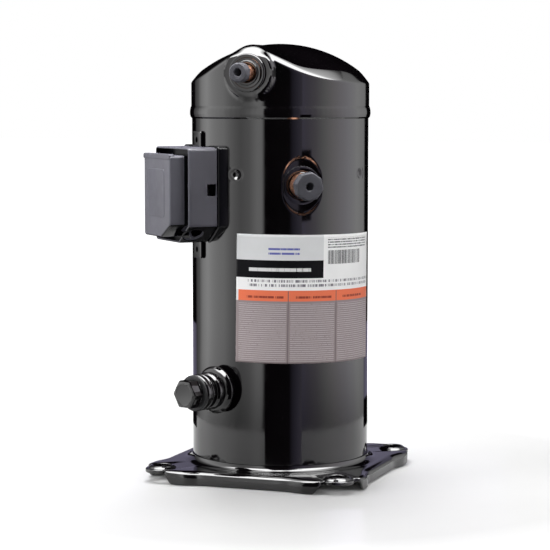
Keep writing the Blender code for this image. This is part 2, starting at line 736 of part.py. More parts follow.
def main_bearing_housing():
    """Carries the main bearing, the thrust face, the keyed ring's recess and the fixed scroll."""
    profile = [
        (17.4, 271), (25, 271), (27, 300), (60, 306), (80, 322), (STATOR_R, 324), (STATOR_R, RIM_FACE_Z),
        (66.4, RIM_FACE_Z), (66.4, 327), (41.6, 327), (41.6, HOUSING_SEAT_Z), (24.8, HOUSING_SEAT_Z),
        (24.8, 311.5), (17.4, 311.5),
    ]
    housing = new_object("main_bearing_housing", revolve(profile, TURNED), CAST_IRON)
    for name, y in (("front", -52), ("back", 52)):
        box_cut(housing, f"cut_keyway_{name}", (-4.4, y - 10.5, 321.5), (4.4, y + 10.5, 330))
    relief = SUCTION_FLAT_W - WALL - GAP
    box_cut(housing, "cut_suction_relief", (-27, -60, relief), (27, 60, 120),
            (0, 0, SUCTION[1]), outward(SUCTION[0]))
    for i, (x, y) in enumerate(bolt_places()):
        round_cut(housing, f"cut_thread_{i + 1}", 3.4, 330, 350, (x, y, 0), segments=12)
    inner = MAIN_JOURNAL_R + RUNNING
    bush = [(inner, 271), (17.0, 271), (17.0, 309), (inner, 309)]
    new_object("main_bearing_bush", revolve(bush, 24), BRONZE)


# ---------------------------------------------------------------- scroll set


def bolt_places():
    return circle(80, 4, start=math.radians(22.5))


def wrap_outline(turn):
    """Outline of an involute wall, turned about the axis. Steps are longer where the curve is flatter."""
    base_r = PITCH / math.tau
    half = WRAP_T / 2 / base_r
    first, last = WRAP_START**1.5, WRAP_END**1.5
    sides = ([], [])
    for i in range(WRAP_STEPS + 1):
        angle = (first + (last - first) * i / WRAP_STEPS) ** (1 / 1.5)
        for side, shift in zip(sides, (half, -half)):
            reach = angle + shift
            x = base_r * (math.cos(angle) + reach * math.sin(angle))
            y = base_r * (math.sin(angle) - reach * math.cos(angle))
            c, s = math.cos(turn), math.sin(turn)
            side.append((x * c - y * s, x * s + y * c))
    return sides[0] + sides[1][::-1]


def fixed_scroll():
    low = RIM_FACE_Z + GAP
    roof = ORBIT_FLOOR_Z + ORBIT_BASE_T + WRAP_H + GAP
    profile = [
        (67, low), (88.3, low), (88.3, low + 8), (73, low + 8), (73, 384), (44.8, 384), (44.8, 379),
        (23.4, 379), (23.4, 384), (6, 384), (6, roof), (67, roof),
    ]
    scroll = new_object("fixed_scroll", revolve(profile, TURNED), CAST_IRON)
    wall = prism(wrap_outline(math.pi), ORBIT_FLOOR_Z + ORBIT_BASE_T + GAP, roof + 2)
    combine(scroll, new_object("fixed_wrap", wall), "UNION")
    for i, (x, y) in enumerate(bolt_places()):
        round_cut(scroll, f"cut_flange_{i + 1}", 3.4, low - 3, low + 12, (x, y, 0), segments=12)
        head = low + 8 + GAP
        bolt = [(0, 332), (3, 332), (3, head), (5, head), (5, head + 5), (4.3, head + 5.6), (0, head + 5.6)]
        new_object(f"scroll_bolt_{i + 1}", revolve(bolt, 12), STEEL, (x, y, 0))


def orbiting_scroll():
    """Base, hub and wrap, centred on the crank pin."""
    floor = ORBIT_FLOOR_Z
    roof = floor + ORBIT_BASE_T
    axis = pivot("orbit_axis", (ORBIT_R, 0, 0))
    profile = [(0, floor), (13.7, floor), (13.7, 314), (19, 314), (19, floor), (ORBIT_BASE_R, floor),
               (ORBIT_BASE_R, roof), (0, roof)]
    centre = (ORBIT_R, 0, 0)
    scroll = new_object("orbiting_scroll", revolve(profile, TURNED), ALUMINIUM, centre, parent=axis)
    wall = new_object("orbiting_wrap", prism(wrap_outline(0.0), roof - 2, roof + WRAP_H), None, centre)
    combine(scroll, wall, "UNION")
    half = 4 + 2 * ORBIT_R + 2 * GAP
    for name, sign in (("left", -1), ("right", 1)):
        near, far = sorted((sign * (42 - ORBIT_R), sign * (70 - ORBIT_R)))
        box_cut(scroll, f"cut_keyway_{name}", (near, -half, floor - 2), (far, half, floor + 4.6), centre)
    bush = [(11.6, 314), (13.3, 314), (13.3, 333.5), (11.6, 333.5)]
    new_object("orbit_bearing_bush", revolve(bush, 24), BRONZE, centre, parent=axis)


def oldham_ring():
    """Ring with two keys up for the orbiting scroll and two keys down for the housing."""
    (low, high), (inner, outer) = KEY_RING_Z, KEY_RING_R
    axis = pivot("oldham_axis", (0, 0, low))
    profile = [(inner, low), (outer, low), (outer, high), (inner, high)]
    ring = new_object("oldham_ring", revolve(profile, TURNED), ALUMINIUM, parent=axis)
    keys = (
        ("key_left", (-56.5, -4, 331), (-47.5, 4, 339.3)), ("key_right", (47.5, -4, 331), (56.5, 4, 339.3)),
        ("key_front", (-4, -56.5, 322.2), (4, -47.5, 330)), ("key_back", (-4, 47.5, 322.2), (4, 56.5, 330)),
    )
    for name, low, high in keys:
        combine(ring, new_object(name, box(low, high)), "UNION")


def discharge_valving():
    """Floating seal over the fixed scroll, and the check valve on the muffler plate."""
    seal_axis = pivot("floating_seal_axis", (0, 0, SEAL_Z))
    seal = [
        (24.2, SEAL_Z), (44, SEAL_Z), (44, 386.5), (37, 387.5), (37, 390), (30, 390), (30, 387.5),
        (24.2, 386.5),
    ]
    new_object("floating_seal", revolve(seal, 24), SEAL_POLYMER, parent=seal_axis)
    low, high = DISC_Z
    disc_axis = pivot("check_valve_axis", (0, 0, low))
    disc = revolve([(0, low), (24, low), (24, high), (0, high)], 24)
    new_object("check_valve_disc", disc, STEEL, parent=disc_axis)
    cage = [(25.2, low), (29, low), (29, 406.5), (5, 406.5), (5, 403.2), (25.2, 403.2)]
    new_object("check_valve_cage", revolve(cage, 24), STEEL)


def build():
    clear_scene()
    base_plate()
    bottom_cap()
    shell_tube()
    muffler_plate()
    top_cap()
    label()
    tube_set("discharge", DISCHARGE, seat=CAP_R + 0.5, collar_r=19.5, tube_r=8.3, tube_end=112.5,
             plug_r=10, plug_end=124, neck_in=86)
    tube_set("suction", SUCTION, seat=SUCTION_FLAT_W + 0.5, collar_r=19.5, tube_r=12.0, tube_end=107.5,
             plug_r=15, plug_end=121, neck_in=84)
    oil_fitting()
    terminal_parts()
    shaft_axis = pivot("shaft_axis", (0, 0, 0))
    motor(shaft_axis)
    crankshaft(shaft_axis)
    lower_bearing()
    main_bearing_housing()
    fixed_scroll()
    orbiting_scroll()
    oldham_ring()
    discharge_valving()


build()
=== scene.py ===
"""Looks of a hermetic scroll compressor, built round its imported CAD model.

Shapes are drawn in millimetres, and each mesh is scaled to metres as it is made.
A bearing is an angle round the shell from -Y towards +X, seen from above, as in the CAD model.
A fitting is drawn on its own axes: across, up, and outwards from the shell's axis.
"""

import math

import bmesh
import bpy
from mathutils import Matrix, Vector

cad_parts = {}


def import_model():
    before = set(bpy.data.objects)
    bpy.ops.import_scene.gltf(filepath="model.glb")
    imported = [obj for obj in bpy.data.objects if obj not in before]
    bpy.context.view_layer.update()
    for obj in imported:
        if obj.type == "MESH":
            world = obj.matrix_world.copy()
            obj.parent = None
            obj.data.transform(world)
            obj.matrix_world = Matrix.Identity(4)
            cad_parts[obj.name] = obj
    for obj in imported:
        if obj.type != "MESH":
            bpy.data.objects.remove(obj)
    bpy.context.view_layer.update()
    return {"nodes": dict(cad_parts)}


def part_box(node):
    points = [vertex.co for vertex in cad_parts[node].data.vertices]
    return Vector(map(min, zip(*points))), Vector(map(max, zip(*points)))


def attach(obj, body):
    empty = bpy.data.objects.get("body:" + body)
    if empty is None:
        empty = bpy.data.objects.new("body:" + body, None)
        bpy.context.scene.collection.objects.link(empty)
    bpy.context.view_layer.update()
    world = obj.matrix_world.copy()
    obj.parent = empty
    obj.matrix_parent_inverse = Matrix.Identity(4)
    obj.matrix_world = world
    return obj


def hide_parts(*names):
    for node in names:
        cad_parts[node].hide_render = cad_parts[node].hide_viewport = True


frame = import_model()

MM = 0.001
FINE = 96            # segments of a small turned piece
AROUND = 360         # segments of the seam and the cap


def outward(bearing):
    b = math.radians(bearing)
    return Vector((math.sin(b), -math.cos(b), 0))


def extent(node, direction):
    """Lowest and highest reach of a CAD node along a direction, in millimetres."""
    reach = [v.co.dot(direction) for v in frame["nodes"][node].data.vertices]
    return min(reach) / MM, max(reach) / MM


def middle_height(node):
    low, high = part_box(node)
    return (low.z + high.z) / 2 / MM


def on_shell(bearing, height):
    """Matrix from a fitting's own axes (across, up, outwards) to the object's, in millimetres."""
    b = math.radians(bearing)
    across = Vector((math.cos(b), math.sin(b), 0))
    axes = Matrix((across, Vector((0, 0, 1)), outward(bearing))).transposed().to_4x4()
    return Matrix.Translation((0, 0, height)) @ axes


# Places: heights and reaches are read from the CAD model, the fittings' bearings are given
SHELL_R = extent("shell_tube", outward(180))[1]
SHELL_FOOT, SHELL_TOP = extent("shell_tube", Vector((0, 0, 1)))
RIM_R = extent("muffler_plate", Vector((1, 0, 0)))[1]
RIM_LOW = extent("muffler_plate", Vector((0, 0, 1)))[0]
CAP_R = extent("top_cap", outward(180))[1]
CAP_FOOT, CAP_TOP = extent("top_cap", Vector((0, 0, 1)))
DISCHARGE = (0.0, middle_height("discharge_stub"))
SUCTION = (34.0, middle_height("suction_stub"))
OIL = (-21.5, middle_height("oil_adapter"))
TERMINAL = (-45.0, middle_height("terminal_feedthrough"))
PLATE_REACH = extent("base_plate", Vector((1, 0, 0)))[1]


# ---------------- mesh helpers


def smooth(value, low, high):
    t = min(1.0, max(0.0, (value - low) / (high - low)))
    return t * t * (3 - 2 * t)


def circle(radius, count, start=0.0):
    steps = [start + math.tau * i / count for i in range(count)]
    return [(radius * math.cos(a), radius * math.sin(a)) for a in steps]


def fillet(points, steps=5):
    """Round the corners of an outline of (x, y, radius) points; radius 0 keeps a corner."""
    rounded = []
    for i, (x, y, radius) in enumerate(points):
        if radius <= 0:
            rounded.append((x, y))
            continue
        corner = Vector((x, y))
        before = Vector(points[i - 1][:2]) - corner
        after = Vector(points[(i + 1) % len(points)][:2]) - corner
        half = before.angle(after) / 2
        reach = min(radius / math.tan(half), 0.49 * before.length, 0.49 * after.length)
        radius = reach * math.tan(half)
        centre = corner + (before.normalized() + after.normalized()).normalized() * radius / math.sin(half)
        first = corner + before.normalized() * reach - centre
        last = corner + after.normalized() * reach - centre
        turn = first.angle_signed(last)
        for k in range(steps + 1):
            spoke = Matrix.Rotation(-turn * k / steps, 2) @ first
            rounded.append((centre.x + spoke.x, centre.y + spoke.y))
    return rounded


def inset(outline, distance):
    """Move an outline inwards by a distance, or by a list of them, square to each point's neighbours."""
    area = sum(a[0] * b[1] - b[0] * a[1] for a, b in zip(outline, outline[1:] + outline[:1]))
    side = 1 if area > 0 else -1
    distances = distance if isinstance(distance, list) else [distance] * len(outline)
    moved = []
    for i, (x, y) in enumerate(outline):
        ahead, behind = outline[(i + 1) % len(outline)], outline[i - 1]
        tx, ty = ahead[0] - behind[0], ahead[1] - behind[1]
        step = side * distances[i] / (math.hypot(tx, ty) or 1.0)
        moved.append((x - step * ty, y + step * tx))
    return moved


def raised(outline, height):
    return [(x, y, height) for x, y in outline]


def skin(loops, wrap=False):
    """Faces between closed loops of equal length. The last loop joins the first, or both are capped."""
    bm = bmesh.new()
    rows = [[bm.verts.new(point) for point in loop] for loop in loops]
    pairs = list(zip(rows, rows[1:]))
    if wrap:
        pairs.append((rows[-1], rows[0]))
    for low, high in pairs:
        for i in range(len(low)):
            j = (i + 1) % len(low)
            bm.faces.new((low[i], low[j], high[j], high[i]))
    if not wrap:
        bm.faces.new(list(reversed(rows[0])))
        bm.faces.new(rows[-1])
    return bm


def turned(profile, segments=FINE):
    """Turn a closed outline of (radius, height) points round the axis."""
    bm = bmesh.new()
    loops = []
    for radius, height in profile:
        if radius <= 0:
            loops.append([bm.verts.new((0, 0, height))])
        else:
            loops.append([bm.verts.new((x, y, height)) for x, y in circle(radius, segments)])
    for low, high in zip(loops, loops[1:] + loops[:1]):
        for i in range(segments):
            j = (i + 1) % segments
            corners = [low[i % len(low)], low[j % len(low)], high[j % len(high)], high[i % len(high)]]
            corners = list(dict.fromkeys(corners))
            if len(corners) > 2:
                bm.faces.new(corners)
    return bm


def slab(outline, low, high, edge=0.0, steps=3):
    """Solid of an outline between two heights, with its two rims rounded by edge."""
    loops = []
    for k in range(steps + 1 if edge else 1):
        a = math.radians(90 * k / steps) if edge else 0
        loops.append(((1 - math.sin(a)) * edge, low + (1 - math.cos(a)) * edge))
    loops += [(off, high + low - z) for off, z in reversed(loops)]
    return skin([raised(inset(outline, off), z) for off, z in loops])


def port_cutter(radius):
    """Round cutter through the wall, along a fitting's own axis."""
    return slab(circle(radius, 64, 0.02), 70, 110)


def faceted(radius, height, sides, share, turn=0.0):
    """Loop whose round gives way to flats by a share."""
    loop = []
    for i in range(FINE):
        a = math.tau * i / FINE
        flat = math.cos(math.pi / sides) / math.cos((a + turn) % (math.tau / sides) - math.pi / sides)
        r = radius * (1 - share + share * flat)
        loop.append((r * math.cos(a), r * math.sin(a), height))
    return loop


def rolled(outline, radius, height, steps=5):
    """Rows (outline, inset, height) of a quarter-round edge that ends flat at a height."""
    angles = [math.radians(90 * k / steps) for k in range(1, steps + 1)]
    return [(outline, radius * (1 - math.cos(a)), height - radius + radius * math.sin(a)) for a in angles]


def added(name, data):
    obj = bpy.data.objects.new(name, data)
    bpy.context.scene.collection.objects.link(obj)
    return obj


def as_object(name, bm, place):
    """Object of a mesh drawn in millimetres on a fitting's own axes."""
    bmesh.ops.recalc_face_normals(bm, faces=bm.faces[:])
    if place:
        bm.transform(place)
    bm.transform(Matrix.Scale(MM, 4))
    mesh = bpy.data.meshes.new(name)
    bm.to_mesh(mesh)
    bm.free()
    return added(name, mesh)


def smoothed(mesh, sharp):
    """Smooth shading, with edges over an angle kept sharp."""
    mesh.shade_smooth()
    mesh.set_sharp_from_angle(angle=math.radians(sharp))


def piece(name, bm, looks, instead_of=(), place=None, sharp=35, body="housing", slot="casing_paint"):
    """Finish a mesh as a named piece that rides on a CAD body and stands for the CAD nodes it names."""
    obj = as_object(name, bm, place)
    smoothed(obj.data, sharp)
    for look in looks if isinstance(looks, list) else [looks]:
        obj.data.materials.append(look)
    if instead_of:
        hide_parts(*instead_of)
    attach(obj, body)
    return obj


def carve(obj, tools, place=None, sharp=35):
    """Cut closed meshes, drawn in millimetres, out of a piece."""
    cutters = []
    for i, bm in enumerate(tools):
        cutter = as_object("cutter", bm, place)
        modifier = obj.modifiers.new(f"cut_{i}", "BOOLEAN")
        modifier.operation = "DIFFERENCE"
        modifier.solver = "EXACT"
        modifier.object = cutter
        cutters.append(cutter)
    depsgraph = bpy.context.evaluated_depsgraph_get()
    cut = bpy.data.meshes.new_from_object(obj.evaluated_get(depsgraph))
    obj.modifiers.clear()
    obj.data = cut
    smoothed(cut, sharp)
    for cutter in cutters:
        bpy.data.objects.remove(cutter, do_unlink=True)


# ---------------- materials


def scaled(tint, share):
    return tuple(c * share for c in tint)


class Graph:
    """Nodes of a material or a world, added one by one."""

    def __init__(self, owner):
        owner.use_nodes = True
        self.nodes = owner.node_tree.nodes
        self.links = owner.node_tree.links

    def feed(self, socket, value):
        """Link an output to a socket, or set the socket's own value."""
        if isinstance(value, bpy.types.NodeSocket):
            self.links.new(value, socket)
        elif socket.type == "RGBA" and len(value) == 3:
            socket.default_value = (*value, 1.0)
        else:
            socket.default_value = value

    def node(self, kind, **inputs):
        made = self.nodes.new(kind)
        for name, value in inputs.items():
            self.feed(made.inputs[name.replace("_", " ")], value)
        return made

    def split(self, vector):
        return self.node("ShaderNodeSeparateXYZ", Vector=vector).outputs

    def math(self, operation, *values):
        made = self.nodes.new("ShaderNodeMath")
        made.operation = operation
        for socket, value in zip(made.inputs, values):
            self.feed(socket, value)
        return made.outputs["Value"]

    def ramp(self, value, stops):
        """Colour ramp. Stops are (position, colour), a colour being one grey or three numbers."""
        made = self.node("ShaderNodeValToRGB", Fac=value)
        while len(made.color_ramp.elements) < len(stops):
            made.color_ramp.elements.new(0.5)
        for element, (at, colour) in zip(made.color_ramp.elements, stops):
            element.position = at
            rgb = (colour,) * 3 if isinstance(colour, (int, float)) else colour
            element.color = (*rgb, 1.0)
        return made.outputs["Color"]

    def ranged(self, value, start, end, low, high):
        """A value that runs from low to high while the given one runs from start to end."""
        spans = {"From_Min": start, "From_Max": end, "To_Min": low, "To_Max": high}
        return self.node("ShaderNodeMapRange", Value=value, **spans).outputs["Result"]


class Look(Graph):
    """A Principled material in the object's own coordinates."""

    def __init__(self, name, roughness=0.5, metallic=0.0, **sockets):
        self.material = bpy.data.materials.new(name)
        super().__init__(self.material)
        self.shader = self.nodes["Principled BSDF"]
        self.set(Roughness=roughness, Metallic=metallic, **sockets)
        self.place = self.node("ShaderNodeTexCoord").outputs["Object"]

    def set(self, **sockets):
        for name, value in sockets.items():
            self.feed(self.shader.inputs[name.replace("_", " ")], value)

    def noise(self, scale, detail=2.0, roughness=0.5, vector=None):
        vector = vector or self.place
        made = self.node("ShaderNodeTexNoise", Scale=scale, Detail=detail, Roughness=roughness, Vector=vector)
        return made.outputs["Fac"]

    def stretched(self, *scale):
        return self.node("ShaderNodeMapping", Vector=self.place, Scale=scale).outputs["Vector"]

    def mix(self, share, first, second):
        made = self.nodes.new("ShaderNodeMix")
        made.data_type = "RGBA"
        for name, value in (("Factor", share), ("A", first), ("B", second)):
            sockets = [s for s in made.inputs if s.name == name and s.type in ("VALUE", "RGBA") and s.enabled]
            self.feed(sockets[0], value)
        return next(s for s in made.outputs if s.type == "RGBA" and s.enabled)

    def mottled(self, cloud, tint, dark, light=1.0, start=0.3, end=0.7):
        """The tint, darker where a cloud is thin and lighter where it is thick."""
        return self.ramp(cloud, [(start, scaled(tint, dark)), (end, scaled(tint, light))])

    def rough(self, value, low, high):
        """Roughness that follows a value from low to high."""
        self.set(Roughness=self.ranged(value, 0.3, 0.7, low, high))

    def bump(self, *layers):
        """Bump from (height, strength, depth in millimetres) layers, the last one on top."""
        normal = None
        for height, strength, depth in layers:
            made = self.node("ShaderNodeBump", Height=height, Strength=strength, Distance=depth * MM)
            if normal:
                self.feed(made.inputs["Normal"], normal)
            normal = made.outputs["Normal"]
        self.set(Normal=normal)


ENAMEL_TINT = (0.0022, 0.0016, 0.0022)


def enamel(name, wave):
    """Thick black enamel: faint orange peel, slow waves of the metal under it and a little dust."""
    look = Look(name, roughness=0.08, IOR=1.5)
    look.set(Base_Color=look.mottled(look.noise(14, detail=3), ENAMEL_TINT, 0.6, start=0.35, end=0.65))
    look.rough(look.noise(60, detail=4), 0.05, 0.1)
    look.bump((look.noise(9, detail=1), wave, 0.25), (look.noise(420, detail=2), 0.05, 0.03))
    return look.material


def moulded(name, tint, roughness, grain=0.12, gloss=0.5):
    """Moulded plastic with a fine spark-eroded grain and faint flow marks."""
    look = Look(name, roughness=roughness, IOR=1.5, Specular_IOR_Level=gloss)
    flow = look.noise(18, detail=4, vector=look.stretched(1, 1, 0.35))
    look.set(Base_Color=look.mottled(flow, tint, 0.8, 1.2))
    look.rough(look.noise(90, detail=3), roughness - 0.05, roughness + 0.06)
    look.bump((look.noise(1500, detail=2), grain, 0.06))
    return look.material


def rubber(name, tint, roughness=0.55):
    look = Look(name, roughness=roughness, IOR=1.48, Specular_IOR_Level=0.25)
    look.set(Base_Color=look.mottled(look.noise(70, detail=4), tint, 0.85, 1.18, end=0.75))
    look.rough(look.noise(160, detail=3), roughness - 0.08, roughness + 0.1)
    look.bump((look.noise(700, detail=3), 0.15, 0.08))
    return look.material


def metal(name, tint, roughness, grain=(1.0, 1.0, 14.0), stain=0.8):
    """Bare metal with lay marks along one axis and darker stains."""
    look = Look(name, roughness=roughness, metallic=1.0)
    look.set(Base_Color=look.mottled(look.noise(30, detail=4), tint, stain))
    lay = look.noise(220, detail=3, vector=look.stretched(*grain))
    look.rough(lay, max(roughness - 0.08, 0.05), roughness + 0.1)
    look.bump((lay, 0.2, 0.02))
    return look.material


def casting(name, tint, roughness=0.6):
    look = Look(name, roughness=roughness, metallic=0.85)
    grit = look.noise(260, detail=5, roughness=0.65)
    look.set(Base_Color=look.mottled(look.noise(40, detail=4), tint, 0.7))
    look.rough(grit, roughness - 0.12, roughness + 0.12)
    look.bump((grit, 0.4, 0.25))
    return look.material


def wound_wire():
    look = Look("lacquered_wire", roughness=0.35, metallic=0.7)
    wave = look.node("ShaderNodeTexWave", Vector=look.place, Scale=180.0, Distortion=3.0, Detail=2.0)
    strands = wave.outputs["Fac"]
    look.set(Base_Color=look.ramp(strands, [(0.1, (0.2, 0.05, 0.02)), (0.8, (0.62, 0.23, 0.1))]))
    look.bump((strands, 0.7, 0.5))
    return look.material


def laminations():
    look = Look("lamination_stack", roughness=0.45, metallic=1.0)
    wave = look.node("ShaderNodeTexWave", Vector=look.place, Scale=300.0)
    wave.bands_direction = "Z"
    sheets = wave.outputs["Fac"]
    look.set(Base_Color=look.ramp(sheets, [(0.2, 0.16), (0.7, (0.34, 0.35, 0.37))]))
    look.bump((sheets, 0.5, 0.15))
    return look.material


BLACK = enamel("black_enamel", wave=0.2)
BLACK_FLAT = enamel("black_enamel_pressed", wave=0.1)
BLACK_THICK = enamel("black_enamel_turned", wave=0.15)
BOX = moulded("box_plastic", (0.056, 0.055, 0.069), 0.45, gloss=0.42)
BASE_PLASTIC = moulded("box_base_plastic", (0.003, 0.003, 0.004), 0.16, grain=0.04, gloss=0.12)
BLOCK = moulded("terminal_block_plastic", (0.05, 0.045, 0.04), 0.5, grain=0.3)
PLUG = rubber("grey_plug_rubber", (0.043, 0.043, 0.051))
SEAL = rubber("black_seal_rubber", (0.015, 0.015, 0.016), 0.4)
COPPER = metal("drawn_copper", (0.86, 0.44, 0.28), 0.3, stain=0.72)
STEEL = metal("ground_steel", (0.52, 0.52, 0.53), 0.3)
BRONZE = metal("bearing_bronze", (0.6, 0.42, 0.2), 0.35)
BRASS = metal("plated_brass", (0.78, 0.58, 0.27), 0.28)
ALUMINIUM = metal("machined_aluminium", (0.76, 0.77, 0.79), 0.35)
POLYMER = moulded("seal_polymer", (0.22, 0.16, 0.09), 0.5)
IRON = casting("cast_iron_machined", (0.24, 0.23, 0.22))


# ---------------- shell


WALL_T = 3.0
OVAL_W = 89.8                       # flat of the pressed oval, out from the axis
OVAL_ACROSS, OVAL_UP = 21.5, 28.5
DIMPLES = (-8.9, 82.5, 171.1, 262.5)
DIMPLE_Z = 316.5
DIMPLE_R = 6.0
DIMPLE_DEPTH = 2.6
SEAM_DROP = 4.6                     # how far the weld hangs below the rim
SEAM_RISE = 5.7                     # how far it climbs above the cap's foot
PORTS = ((SUCTION, 14.9), (OIL, 14.2), (TERMINAL, 24.6))


def turn_from(bearing, place):
    """Angle in radians from a place's bearing, between minus and plus half a turn."""
    return math.radians((bearing - place[0] + 180) % 360 - 180)


def shell_radius(bearing, z):
    """Outside of the shell, with the pressed oval round the suction fitting and the staked dimples."""
    off = turn_from(bearing, SUCTION)
    if abs(off) < 0.4 and abs(z - SUCTION[1]) < 45:
        spread = math.hypot(SHELL_R * math.sin(off) / OVAL_ACROSS, (z - SUCTION[1]) / OVAL_UP)
        wanted = min(SHELL_R, OVAL_W / math.cos(off))
        return SHELL_R + (wanted - SHELL_R) * (1 - smooth(spread, 0.97, 1.05))
    for place in DIMPLES:
        far = math.hypot(SHELL_R * turn_from(bearing, (place, DIMPLE_Z)), z - DIMPLE_Z)
        if far < DIMPLE_R * 1.6:
            lip = 0.25 * math.exp(-(far - DIMPLE_R * 1.15) ** 2)
            return SHELL_R + lip - DIMPLE_DEPTH * (1 - smooth(far, DIMPLE_R * 0.2, DIMPLE_R))
    return SHELL_R


def graded(low, high, coarse, fine_spans):
    """Values from low up to high, spaced by coarse, or by a span's own step inside it."""
    marks = [low]
    while marks[-1] < high - 1e-6:
        here = marks[-1]
        step = coarse
        for start, end, fine in fine_spans:
            if start - 1e-6 <= here < end:
                step = min(step, fine)
            elif here < start < here + step:
                step = min(step, start - here)
        marks.append(min(high, here + step))
    return marks


def shell():
    """Tube with its wall, finely divided only where something is pressed into it."""
    dimple_half, oval_half = 6.3, 17
    spans = [(place - dimple_half, place + dimple_half, 0.4) for place in DIMPLES]
    spans.append((SUCTION[0] - oval_half, SUCTION[0] + oval_half, 0.5))
    bearings = graded(-11.0, 349.0, 2.5, spans)[:-1]
    oval_band, dimple_band = (270.0, 342.0, 1.2), (313.0, 331.0, 0.6)
    heights = graded(SHELL_FOOT, SHELL_TOP, 14.0, [oval_band, dimple_band])
    outer = []
    for z in heights:
        outer.append([tuple(outward(b) * shell_radius(b, z) + Vector((0, 0, z))) for b in bearings])
    inner = []
    for z in reversed(sorted({*heights[:-4:4], *heights[-1:]})):
        radii = [min(SHELL_R - WALL_T, shell_radius(b, z) - WALL_T / 2) for b in bearings]
        inner.append([tuple(outward(b) * r + Vector((0, 0, z))) for b, r in zip(bearings, radii)])
    bm = skin(outer + inner, wrap=True)
    tube = piece("shell_body", bm, BLACK, ["shell_tube"])
    for place, radius in PORTS:
        carve(tube, [port_cutter(radius)], on_shell(*place))


def seam():
    """Weld between shell, rim and cap: a rounded band with a faint ripple, undercut at the shell."""
    low, high = RIM_LOW - SEAM_DROP, CAP_FOOT + SEAM_RISE
    inside = SHELL_R - 2.2
    profile = fillet([
        (inside, low, 0), (SHELL_R + 0.1, low, 0), (SHELL_R + 1.5, low + 1.6, 0.5),
        (RIM_R + 0.1, low + 4.6, 1.5), (RIM_R, CAP_FOOT - 0.6, 1.5),
        (CAP_R + 0.9, CAP_FOOT + 1.8, 2.0), (CAP_R - 0.5, high, 0), (inside, high, 0),
    ], steps=4)
    loops = []
    for radius, z in profile:
        loop = []
        for i in range(AROUND):
            a = math.tau * i / AROUND
            swell = 0.02 * math.sin(a * 97) + 0.05 * math.sin(a * 23 + 1.3)
            grow = swell if radius > SHELL_R + 0.7 else 0.0
            loop.append(((radius + grow) * math.cos(a), (radius + grow) * math.sin(a), z))
        loops.append(loop)
    piece("seam_weld", skin(loops, wrap=True), BLACK_THICK)


# ---------------- cap


DOME_R = 135.0
HOOD_TOP = 447.6
HOOD_SLOPE = 0.5
HOOD_PEAK = 12.0
SHOULDER_R = 81.0
PAD_R = 27.0
DISCHARGE_PORT_R = 11.2
PAD_W = CAP_R + 3.1


def crown(x, y):
    """Height of the cap's outside over a plan point, before its edge is rounded."""
    r = math.hypot(x, y)
    dome = CAP_TOP - DOME_R + math.sqrt(DOME_R**2 - r**2)
    off = abs(x) if y < 0 else r
    fall = HOOD_SLOPE * off**2 / (2 * HOOD_PEAK) if off < HOOD_PEAK else HOOD_SLOPE * (off - HOOD_PEAK / 2)
    hood = HOOD_TOP - fall
    soft = 3.0 + 9.0 * smooth(r, 50, 85)
    gap = dome - hood
    if abs(gap) < soft:
        return max(dome, hood) + (soft - abs(gap)) ** 2 / (4 * soft)
    return max(dome, hood)


def pad_lift(bearing, z):
    """How far the cap's wall stands out at the flat round pad under the discharge fitting."""
    off = turn_from(bearing, DISCHARGE)
    if abs(off) > 0.5:
        return 0.0
    far = math.hypot(CAP_R * math.sin(off), z - DISCHARGE[1])
    fade = 1 - smooth(z - DISCHARGE[1], 15.0, 23.0)
    return (PAD_W / math.cos(off) - CAP_R) * (1 - smooth(far, PAD_R - 3.0, PAD_R + 0.6)) * fade


def cap_column(bearing, drop=0.0, draw=0.0):
    """Points of the cap from its crown down to its foot, moved in by draw and down by drop for the inside."""
    way = outward(bearing)
    rim = crown(*(way * CAP_R).xy)
    base = rim - 5 - 4 * smooth(rim, 412, 436)
    points = []
    for k in range(1, 17):
        r = SHOULDER_R * k / 16
        points.append((r, crown(*(way * r).xy)))
    for k in range(1, 13):
        a = math.radians(90 * k / 12)
        r = SHOULDER_R + (CAP_R - SHOULDER_R) * math.sin(a)
        points.append((r, base + (crown(*(way * r).xy) - base) * math.cos(a)))
    points += [(CAP_R, base - (base - CAP_FOOT) * k / 18) for k in range(1, 19)]
    share = (CAP_R - draw) / CAP_R
    if not drop:
        points = [(r + pad_lift(bearing, z) * smooth(r, SHOULDER_R, CAP_R), z) for r, z in points]
    lifted = [(r * share, z - drop if z > CAP_FOOT + 0.01 else z) for r, z in points]
    return [tuple(way * r + Vector((0, 0, z))) for r, z in lifted]


def cap():
    """Domed cap with its hood, as an outside and an inside skin joined at the foot."""
    bm = bmesh.new()
    skins = []
    for drop, draw in ((0.0, 0.0), (3.4, 3.2)):
        top = bm.verts.new((0, 0, crown(0, 0) - drop))
        verts = []
        for i in range(AROUND):
            verts.append([bm.verts.new(p) for p in cap_column(360 * i / AROUND, drop, draw)])
        for i, col in enumerate(verts):
            ahead = verts[(i + 1) % AROUND]
            bm.faces.new((top, col[0], ahead[0]))
            for k in range(len(col) - 1):
                bm.faces.new((col[k], col[k + 1], ahead[k + 1], ahead[k]))
        skins.append(verts)
    for i in range(AROUND):
        j = (i + 1) % AROUND
        bm.faces.new((skins[0][i][-1], skins[1][i][-1], skins[1][j][-1], skins[0][j][-1]))
    made = piece("cap_body", bm, BLACK, ["top_cap"], sharp=50)
    carve(made, [port_cutter(DISCHARGE_PORT_R)], on_shell(*DISCHARGE), sharp=50)


# ---------------- tube fittings


PLUG_HOLE_R = 3.7
STUB_T = 1.4


